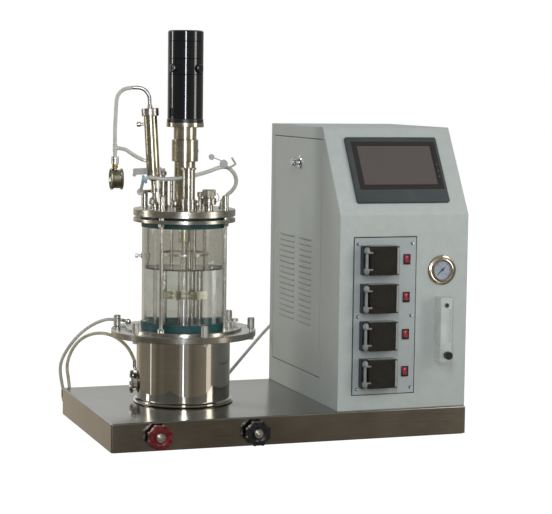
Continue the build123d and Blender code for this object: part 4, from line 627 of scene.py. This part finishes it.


# Switches: a red rocker in a black bezel beside each pump, with a moulded white bar on it. Its
# pressed upper half is painted paler, as a painted highlight.
def rocker_red(height):
    """Red polycarbonate of one rocker, by the height of its middle, paler upwards as a painted
    highlight.
    """
    material = new_material("red polycarbonate rocker, painted highlight")
    place = add(material, "ShaderNodeTexCoord").outputs["Object"]
    parts = add(material, "ShaderNodeSeparateXYZ", {"Vector": place})
    # Painted highlight: the red pales from the rocker's middle up towards its top
    fade = add(material, "ShaderNodeMapRange",
               {"Value": parts.outputs["Z"], "From Min": height - 0.006,
                "From Max": height + 0.008})
    tone = add(material, "ShaderNodeValToRGB", {"Fac": fade})
    red = colour_steps(tone, (0.0, "#6E1018"), (0.45, "#8C1822"), (0.7, "#A63340"),
                       (1.0, "#B4404C"))
    narrow = add(material, "ShaderNodeMath", {0: parts.outputs["X"], 1: 0.2394, 2: 0.0004},
                 operation="COMPARE")
    short = add(material, "ShaderNodeMath", {0: parts.outputs["Z"], 1: height + 0.0045, 2: 0.0018},
                operation="COMPARE")
    bar = add(material, "ShaderNodeMath", {0: narrow, 1: short}, operation="MULTIPLY")
    marked = add(material, "ShaderNodeMix", {"Factor": bar, 6: red, 7: linear("#D9C7C5")},
                 data_type="RGBA")
    grain = add(material, "ShaderNodeTexNoise", {"Vector": place, "Scale": 900, "Detail": 1})
    shine = add(material, "ShaderNodeMapRange", {"Value": grain, "To Min": 0.16, "To Max": 0.28})
    key = add(material, "ShaderNodeBsdfPrincipled",
              {"Base Color": marked.outputs[2], "IOR": 1.58, "Roughness": shine})
    add(material, "ShaderNodeOutputMaterial", {"Surface": key})
    return material


# Black nylon, satin
bezel_black = moulded("black nylon switch bezel", "#140F11", "#1E1719", (0.3, 0.4), ior=1.53)
dress("rocker_bezels", bezel_black)
for number, height in enumerate((0.3637, 0.2868, 0.2110, 0.1349), start=1):
    dress(f"rocker_{number}", rocker_red(height))


# Touch screen: a charcoal moulded bezel round a sheet of hard-coated glass. The glass is printed
# black-brown at its edge, round a display that is switched off.
SLOPE_ALONG, SLOPE_START = (0.5313, 0.8472), (0.0944, -0.2065, 0.454)


def screen_face(name):
    """Bezel, printed glass and display by place on the slope, in millimetres across from the
    cabinet's left edge and up the slope from its fold."""
    material = new_material(name)
    place = add(material, "ShaderNodeTexCoord").outputs["Object"]
    parts = add(material, "ShaderNodeSeparateXYZ", {"Vector": place})
    across = add(material, "ShaderNodeMath", {0: parts.outputs["X"], 1: SLOPE_START[0]},
                 operation="SUBTRACT")
    fold = SLOPE_ALONG[0] * SLOPE_START[1] + SLOPE_ALONG[1] * SLOPE_START[2]
    rise = add(material, "ShaderNodeMath", {0: parts.outputs["Y"], 1: SLOPE_ALONG[0], 2: -fold},
               operation="MULTIPLY_ADD")
    up = add(material, "ShaderNodeMath", {0: parts.outputs["Z"], 1: SLOPE_ALONG[1], 2: rise},
             operation="MULTIPLY_ADD")

    def patch(left, right, foot, top):
        """One where a point lies between these millimetres, and nought elsewhere."""
        wide = add(material, "ShaderNodeMath",
                   {0: across, 1: (left + right) / 2000, 2: (right - left) / 2000},
                   operation="COMPARE")
        tall = add(material, "ShaderNodeMath",
                   {0: up, 1: (foot + top) / 2000, 2: (top - foot) / 2000}, operation="COMPARE")
        return add(material, "ShaderNodeMath", {0: wide, 1: tall}, operation="MULTIPLY")

    cloud = add(material, "ShaderNodeTexNoise", {"Vector": place, "Scale": 22, "Detail": 1})
    skin = add(material, "ShaderNodeTexNoise", {"Vector": place, "Scale": 900, "Detail": 2})
    tone = add(material, "ShaderNodeValToRGB", {"Fac": cloud})
    colour = colour_steps(tone, (0.35, "#303333"), (0.65, "#373A3A"))
    glass, display = patch(52, 238, 55, 167), patch(64, 225, 67, 157)
    for where, shade in ((glass, "#26221F"), (display, "#524A46")):
        colour = add(material, "ShaderNodeMix", {"Factor": where, 6: colour, 7: linear(shade)},
                     data_type="RGBA").outputs[2]
    for height in (113, 98, 85):
        key = patch(231.6, 233.6, height - 1, height + 1)
        colour = add(material, "ShaderNodeMix", {"Factor": key, 6: colour, 7: linear("#6E7276")},
                     data_type="RGBA").outputs[2]
    shine = add(material, "ShaderNodeMapRange", {"Value": glass, "To Min": 0.42, "To Max": 0.07})
    pebbled = add(material, "ShaderNodeMapRange", {"Value": glass, "To Min": 0.4, "To Max": 0.0})
    bump = add(material, "ShaderNodeBump",
               {"Height": skin, "Distance": 0.00003, "Strength": pebbled})
    face = add(material, "ShaderNodeBsdfPrincipled",
               {"Base Color": colour, "Roughness": shine, "IOR": 1.5, "Normal": bump})
    add(material, "ShaderNodeOutputMaterial", {"Surface": face})
    return material


dress("touch_screen", screen_face("charcoal bezel and printed screen glass"))


# Panel gauge: a spun chrome flange and deep bezel round a bluish printed dial, with a dark blue
# painted needle and printed figures.
# Chrome over spun rings: warm, with reflections drawn round the bezel
spun_chrome = worked_metal("spun chrome bezel", ("#AEA48F", "#CAC1AD"), (0.14, 0.22),
                           (0.012, 0.0004, 0.012), wear=0.01, depth=0.000004)
panel_gauge = dress("panel_gauge", spun_chrome)
PANEL_DIAL, CARD_RADIUS = Vector((0.3182, -0.2083, 0.340)), 0.0192
panel_dial = printed_dial("printed dial, panel gauge", "#959CA7", "#8B939E", "#20242E",
                          PANEL_DIAL, (1, 0, 0), radius=0.0194, divisions=6)
paint_where(panel_gauge, panel_dial, lambda c: abs(c.y - PANEL_DIAL.y) < 0.0003
            and (c - PANEL_DIAL).length < CARD_RADIUS)
# Satin dark blue paint
needle_blue = moulded("dark blue needle paint", "#0B0E1C", "#141A2E", (0.3, 0.42), grain=0.0006)
dress("panel_gauge_pointer", needle_blue)


def dial_figures(name, figures, middle, across, outward, radius, size):
    """Printed figures round a dial, from lower left to lower right, as thin films of ink."""
    up = Vector((0, 0, 1))
    sheet = bmesh.new()
    for k, figure in enumerate(figures):
        text = bpy.data.curves.new(name, "FONT")
        text.body, text.size, text.extrude = figure, size, 0.00004
        text.align_x, text.align_y, text.resolution_u = "CENTER", "CENTER", 3
        holder = bpy.data.objects.new(name, text)
        a = math.radians(-135 + 270 * k / (len(figures) - 1))
        mesh = bpy.data.meshes.new_from_object(holder)
        place = middle + across * (radius * math.sin(a)) + up * (radius * math.cos(a))
        place += outward * 0.00007
        turn = Matrix((across, up, outward)).transposed().to_4x4()
        mesh.transform(Matrix.Translation(place) @ turn)
        sheet.from_mesh(mesh)
        bpy.data.objects.remove(holder)
    bmesh.ops.remove_doubles(sheet, verts=sheet.verts, dist=0.0000015)
    bmesh.ops.recalc_face_normals(sheet, faces=sheet.faces)
    return finish_piece(name, sheet, printing_ink, "frame", "pointer_black")


# Matt ink, almost black
printing_ink = moulded("printing ink", "#1C2029", "#262B36", (0.45, 0.55), grain=0.0008)
dial_figures("panel_gauge_figures", "0123456", PANEL_DIAL, Vector((1, 0, 0)), Vector((0, -1, 0)),
             radius=0.0118, size=0.0042)
dial_figures("small_gauge_figures", "0123456", dial_middle, gauge_across, gauge_out,
             radius=0.0108, size=0.0038)


# Rotameter: a clear acrylic block with a tapered bore and an engraved, inked scale, a small
# float, a black knob, a chromed plug in its face and threaded tails behind the cabinet's front.
def scaled_acrylic(name, milk, shade):
    """Clear acrylic, slightly cloudy, with scale lines 4 mm apart to the right of its bore."""
    material = new_material(name)
    place = add(material, "ShaderNodeTexCoord").outputs["Object"]
    parts = add(material, "ShaderNodeSeparateXYZ", {"Vector": place})
    cloud = add(material, "ShaderNodeTexNoise", {"Vector": place, "Scale": 30, "Detail": 1})
    tone = add(material, "ShaderNodeValToRGB", {"Fac": cloud})
    steps = add(material, "ShaderNodeMath", {0: parts.outputs["Z"], 1: 0.004}, operation="DIVIDE")
    part = add(material, "ShaderNodeMath", {0: steps}, operation="FRACT")
    line = add(material, "ShaderNodeMath", {0: part, 1: 0.17}, operation="LESS_THAN")
    for axis, middle, half in (("X", 0.3247, 0.0025), ("Z", 0.228, 0.033), ("Y", -0.2375, 0.0002)):
        within = add(material, "ShaderNodeMath", {0: parts.outputs[axis], 1: middle, 2: half},
                     operation="COMPARE")
        line = add(material, "ShaderNodeMath", {0: line, 1: within}, operation="MULTIPLY")
    body = colour_steps(tone, (0.35, shade), (0.65, milk))
    colour = add(material, "ShaderNodeMix", {"Factor": line, 6: body, 7: linear("#2A2C2D")},
                 data_type="RGBA")
    bare = add(material, "ShaderNodeMath", {0: 1.0, 1: line}, operation="SUBTRACT")
    clear = add(material, "ShaderNodeMath", {0: bare, 1: 0.35}, operation="MULTIPLY")
    block = add(material, "ShaderNodeBsdfPrincipled",
                {"Base Color": colour.outputs[2], "IOR": 1.49, "Roughness": 0.06,
                 "Transmission Weight": clear})
    straight = add(material, "ShaderNodeBsdfTransparent", {"Color": (0.96, 0.97, 0.96, 1)})
    seen = add(material, "ShaderNodeMath", {0: bare, 1: 0.5}, operation="MULTIPLY")
    both = add(material, "ShaderNodeMixShader", {0: seen, 1: block, 2: straight})
    add(material, "ShaderNodeOutputMaterial", {"Surface": both})
    return material


meter = dress("rotameter", scaled_acrylic("clear acrylic block, engraved", "#F4F6F3", "#E4E7E3"))
CABINET_FRONT, PLUG_AT, PLUG_BORE = -0.2064, Vector((0.3167, -0.2376, 0.271)), 0.0033
paint_where(meter, nickel_plate, lambda c: c.y > CABINET_FRONT)
plug = lathe([(0, 0), (0.0052, 0), (0.0052, 0.0011), (0.0046, 0.0017), (0.0034, 0.0017),
              (0.0031, 0.0009), (0, 0.0009)], steps=40, centre=(0, 0))
bmesh.ops.rotate(plug, verts=plug.verts, cent=(0, 0, 0),
                 matrix=Matrix.Rotation(math.pi / 2, 3, "X"))
bmesh.ops.translate(plug, verts=plug.verts, vec=PLUG_AT)
plug_piece = finish_piece("rotameter_plug", plug, bright_chrome, "frame", "chrome")
# The plug's shallow bore is painted black as its shade
paint_where(plug_piece, black_rubber, lambda c: c.y < PLUG_AT.y - 0.0001
            and math.hypot(c.x - PLUG_AT.x, c.z - PLUG_AT.z) < PLUG_BORE)
dress("rotameter_float", rotor_nylon)
dress("rotameter_knob", black_phenolic)


# Control unit: the power supply's box on the cabinet's back wall, folded from steel sheet and
# painted charcoal in a fine, almost matt texture.
unit_paint = moulded("charcoal textured paint", "#3A3B38", "#454643", (0.4, 0.5), grain=0.0011)
dress("control_unit", unit_paint)


# Floor, light and camera: a plain pale floor that polished steel doesn't mirror, and a soft room
# with paler and darker walls. Seven soft strips, tall and low, draw the streaks on round steel.
floor_mesh = bpy.data.meshes.new("floor")
spread = bmesh.new()
bmesh.ops.create_grid(spread, x_segments=1, y_segments=1, size=9)
spread.to_mesh(floor_mesh)
spread.free()
floor = bpy.data.objects.new("floor", floor_mesh)
bpy.context.scene.collection.objects.link(floor)
# Bright to the eye, warm grey to diffuse light, and nothing to reflections
pale = new_material("plain pale floor")
paper = add(pale, "ShaderNodeBsdfDiffuse", {"Color": linear("#5E5C58")})
glow = add(pale, "ShaderNodeEmission", {"Color": (1, 1, 1, 1), "Strength": 1.0})
bright = add(pale, "ShaderNodeAddShader", {0: paper, 1: glow})
hidden = add(pale, "ShaderNodeBsdfTransparent")
warm = add(pale, "ShaderNodeBsdfDiffuse", {"Color": linear("#A29B90")})
sight = add(pale, "ShaderNodeLightPath")
unseen = add(pale, "ShaderNodeMath", {0: 1.0, 1: sight.outputs["Is Diffuse Ray"]},
             operation="SUBTRACT")
for_others = add(pale, "ShaderNodeMixShader", {0: unseen, 1: warm, 2: hidden})
to_eye = add(pale, "ShaderNodeMixShader",
             {0: sight.outputs["Is Camera Ray"], 1: for_others, 2: bright})
add(pale, "ShaderNodeOutputMaterial", {"Surface": to_eye})
floor_mesh.materials.append(pale)

# The room round the object, by compass direction from the front and by height. Light seen
# through glass is an even grey, and the backdrop is white
TO_RIGHT, TO_FRONT = Vector((0.9435, -0.3313, 0)), Vector((-0.3313, -0.9435, 0))
world = bpy.data.worlds.new("studio")
bpy.context.scene.world = world
world.use_nodes = True
world.node_tree.nodes.clear()
seen_from = add(world, "ShaderNodeTexCoord").outputs["Generated"]
upright = add(world, "ShaderNodeSeparateXYZ", {"Vector": seen_from})
sideways = add(world, "ShaderNodeVectorMath", {0: seen_from, 1: TO_RIGHT},
               operation="DOT_PRODUCT")
frontward = add(world, "ShaderNodeVectorMath", {0: seen_from, 1: TO_FRONT},
                operation="DOT_PRODUCT")
compass = add(world, "ShaderNodeMath",
              {0: sideways.outputs["Value"], 1: frontward.outputs["Value"]}, operation="ARCTAN2")
round_room = add(world, "ShaderNodeMapRange",
                 {"Value": compass, "From Min": -math.pi, "From Max": math.pi, "To Min": 0.0,
                  "To Max": 1.0})
walls = add(world, "ShaderNodeValToRGB", {"Fac": round_room})
wall_light = colour_steps(walls, (0, "#B5B5B5"), (0.06, "#D4D4D4"), (0.115, "#D4D4D4"),
                          (0.15, "#9B9B9B"), (0.22, "#959595"), (0.29, "#959595"),
                          (0.325, "#6C6C6C"), (0.355, "#7E7E7E"), (0.39, "#737373"),
                          (0.46, "#797979"), (0.5, "#909090"), (0.545, "#8E8E8E"),
                          (0.57, "#767676"), (0.62, "#8B8B8B"), (0.69, "#A2A2A2"),
                          (0.75, "#898989"), (0.85, "#868686"), (1, "#B5B5B5"))
climb = add(world, "ShaderNodeMapRange",
            {"Value": upright.outputs["Z"], "From Min": -1.0, "From Max": 1.0, "To Min": 0.0,
             "To Max": 1.0})
room = add(world, "ShaderNodeValToRGB", {"Fac": climb})
height_light = colour_steps(room, (0.0, "#6A6258"), (0.47, "#9E968A"), (0.5, "#A19F99"),
                            (0.56, "#ADAFAF"), (0.66, "#D3D7DA"), (1.0, "#A9ACAE"))
mixed = add(world, "ShaderNodeMix", {"Factor": 1.0, 6: wall_light, 7: height_light},
            data_type="RGBA", blend_type="MULTIPLY")
lit = add(world, "ShaderNodeBackground", {"Color": mixed.outputs[2], "Strength": 2.7})
white = add(world, "ShaderNodeBackground", {"Color": (1, 1, 1, 1), "Strength": 1.0})
behind_glass = add(world, "ShaderNodeBackground", {"Color": linear("#A9A9A2"), "Strength": 1.0})
ray = add(world, "ShaderNodeLightPath")
through = add(world, "ShaderNodeMixShader",
              {0: ray.outputs["Is Transmission Ray"], 1: lit, 2: behind_glass})
backdrop = add(world, "ShaderNodeMixShader",
               {0: ray.outputs["Is Camera Ray"], 1: through, 2: white})
add(world, "ShaderNodeOutputWorld", {"Surface": backdrop})


def strip_light(name, compass_degrees, distance, low, high, width, power, colour):
    """Upright soft strip at a compass direction from the front and a distance in metres, facing
    the vessel. It reaches from low to high, and has a power in watts."""
    lamp = bpy.data.lights.new(name, "AREA")
    lamp.shape, lamp.size, lamp.size_y, lamp.energy = "RECTANGLE", width, high - low, power
    lamp.color = linear(colour)[:3]
    a = math.radians(compass_degrees)
    outward = TO_FRONT * math.cos(a) + TO_RIGHT * math.sin(a)
    box = bpy.data.objects.new(name, lamp)
    box.location = Vector((*VESSEL_AXIS, (low + high) / 2)) + outward * distance
    box.rotation_euler = outward.to_track_quat("Z", "Y").to_euler()
    bpy.context.scene.collection.objects.link(box)
    box.visible_camera = False


strip_light("tall front strip", 5, 2.2, 0.3, 2.3, 0.22, 34, "#EEF4FF")
strip_light("low front strip", 3, 2.2, -0.6, 0.02, 0.06, 0.75, "#CFE0FF")
strip_light("front glow", 5, 2.4, -0.6, 0.3, 0.9, 0.4, "#EEF3FA")
strip_light("left strip", -92, 2.2, 0.25, 2.3, 0.32, 17, "#F6F6F4")
strip_light("tall right strip", 70, 2.2, 0.25, 2.3, 0.55, 18, "#FBFBF8")
strip_light("low right strip", 67, 2.2, -0.6, 0.25, 0.50, 1.0, "#FFFAF2")
strip_light("low left strip", -82, 2.2, -0.6, 0.22, 0.12, 0.33, "#FFFFFF")

# A long lens 3.7 m away at the left front, looking slightly down
CAMERA_AT = (-1.1992, -3.5055, 0.7120)
camera = bpy.data.objects.new("camera", bpy.data.cameras.new("camera"))
camera.data.sensor_width, camera.data.lens = 36.0, 116.24
yaw, pitch, roll = math.radians(19.351), math.radians(5.528), math.radians(0.745)
ahead = Vector((math.sin(yaw) * math.cos(pitch), math.cos(yaw) * math.cos(pitch), -math.sin(pitch)))
level = ahead.cross(Vector((0, 0, 1))).normalized()
above = level.cross(ahead)
right = level * math.cos(roll) + above * math.sin(roll)
up = above * math.cos(roll) - level * math.sin(roll)
turn = Matrix((right, up, -ahead)).transposed()
camera.matrix_world = Matrix.Translation(CAMERA_AT) @ turn.to_4x4()
bpy.context.scene.collection.objects.link(camera)
bpy.context.scene.camera = camera
bpy.context.scene.view_settings.view_transform = "Standard"
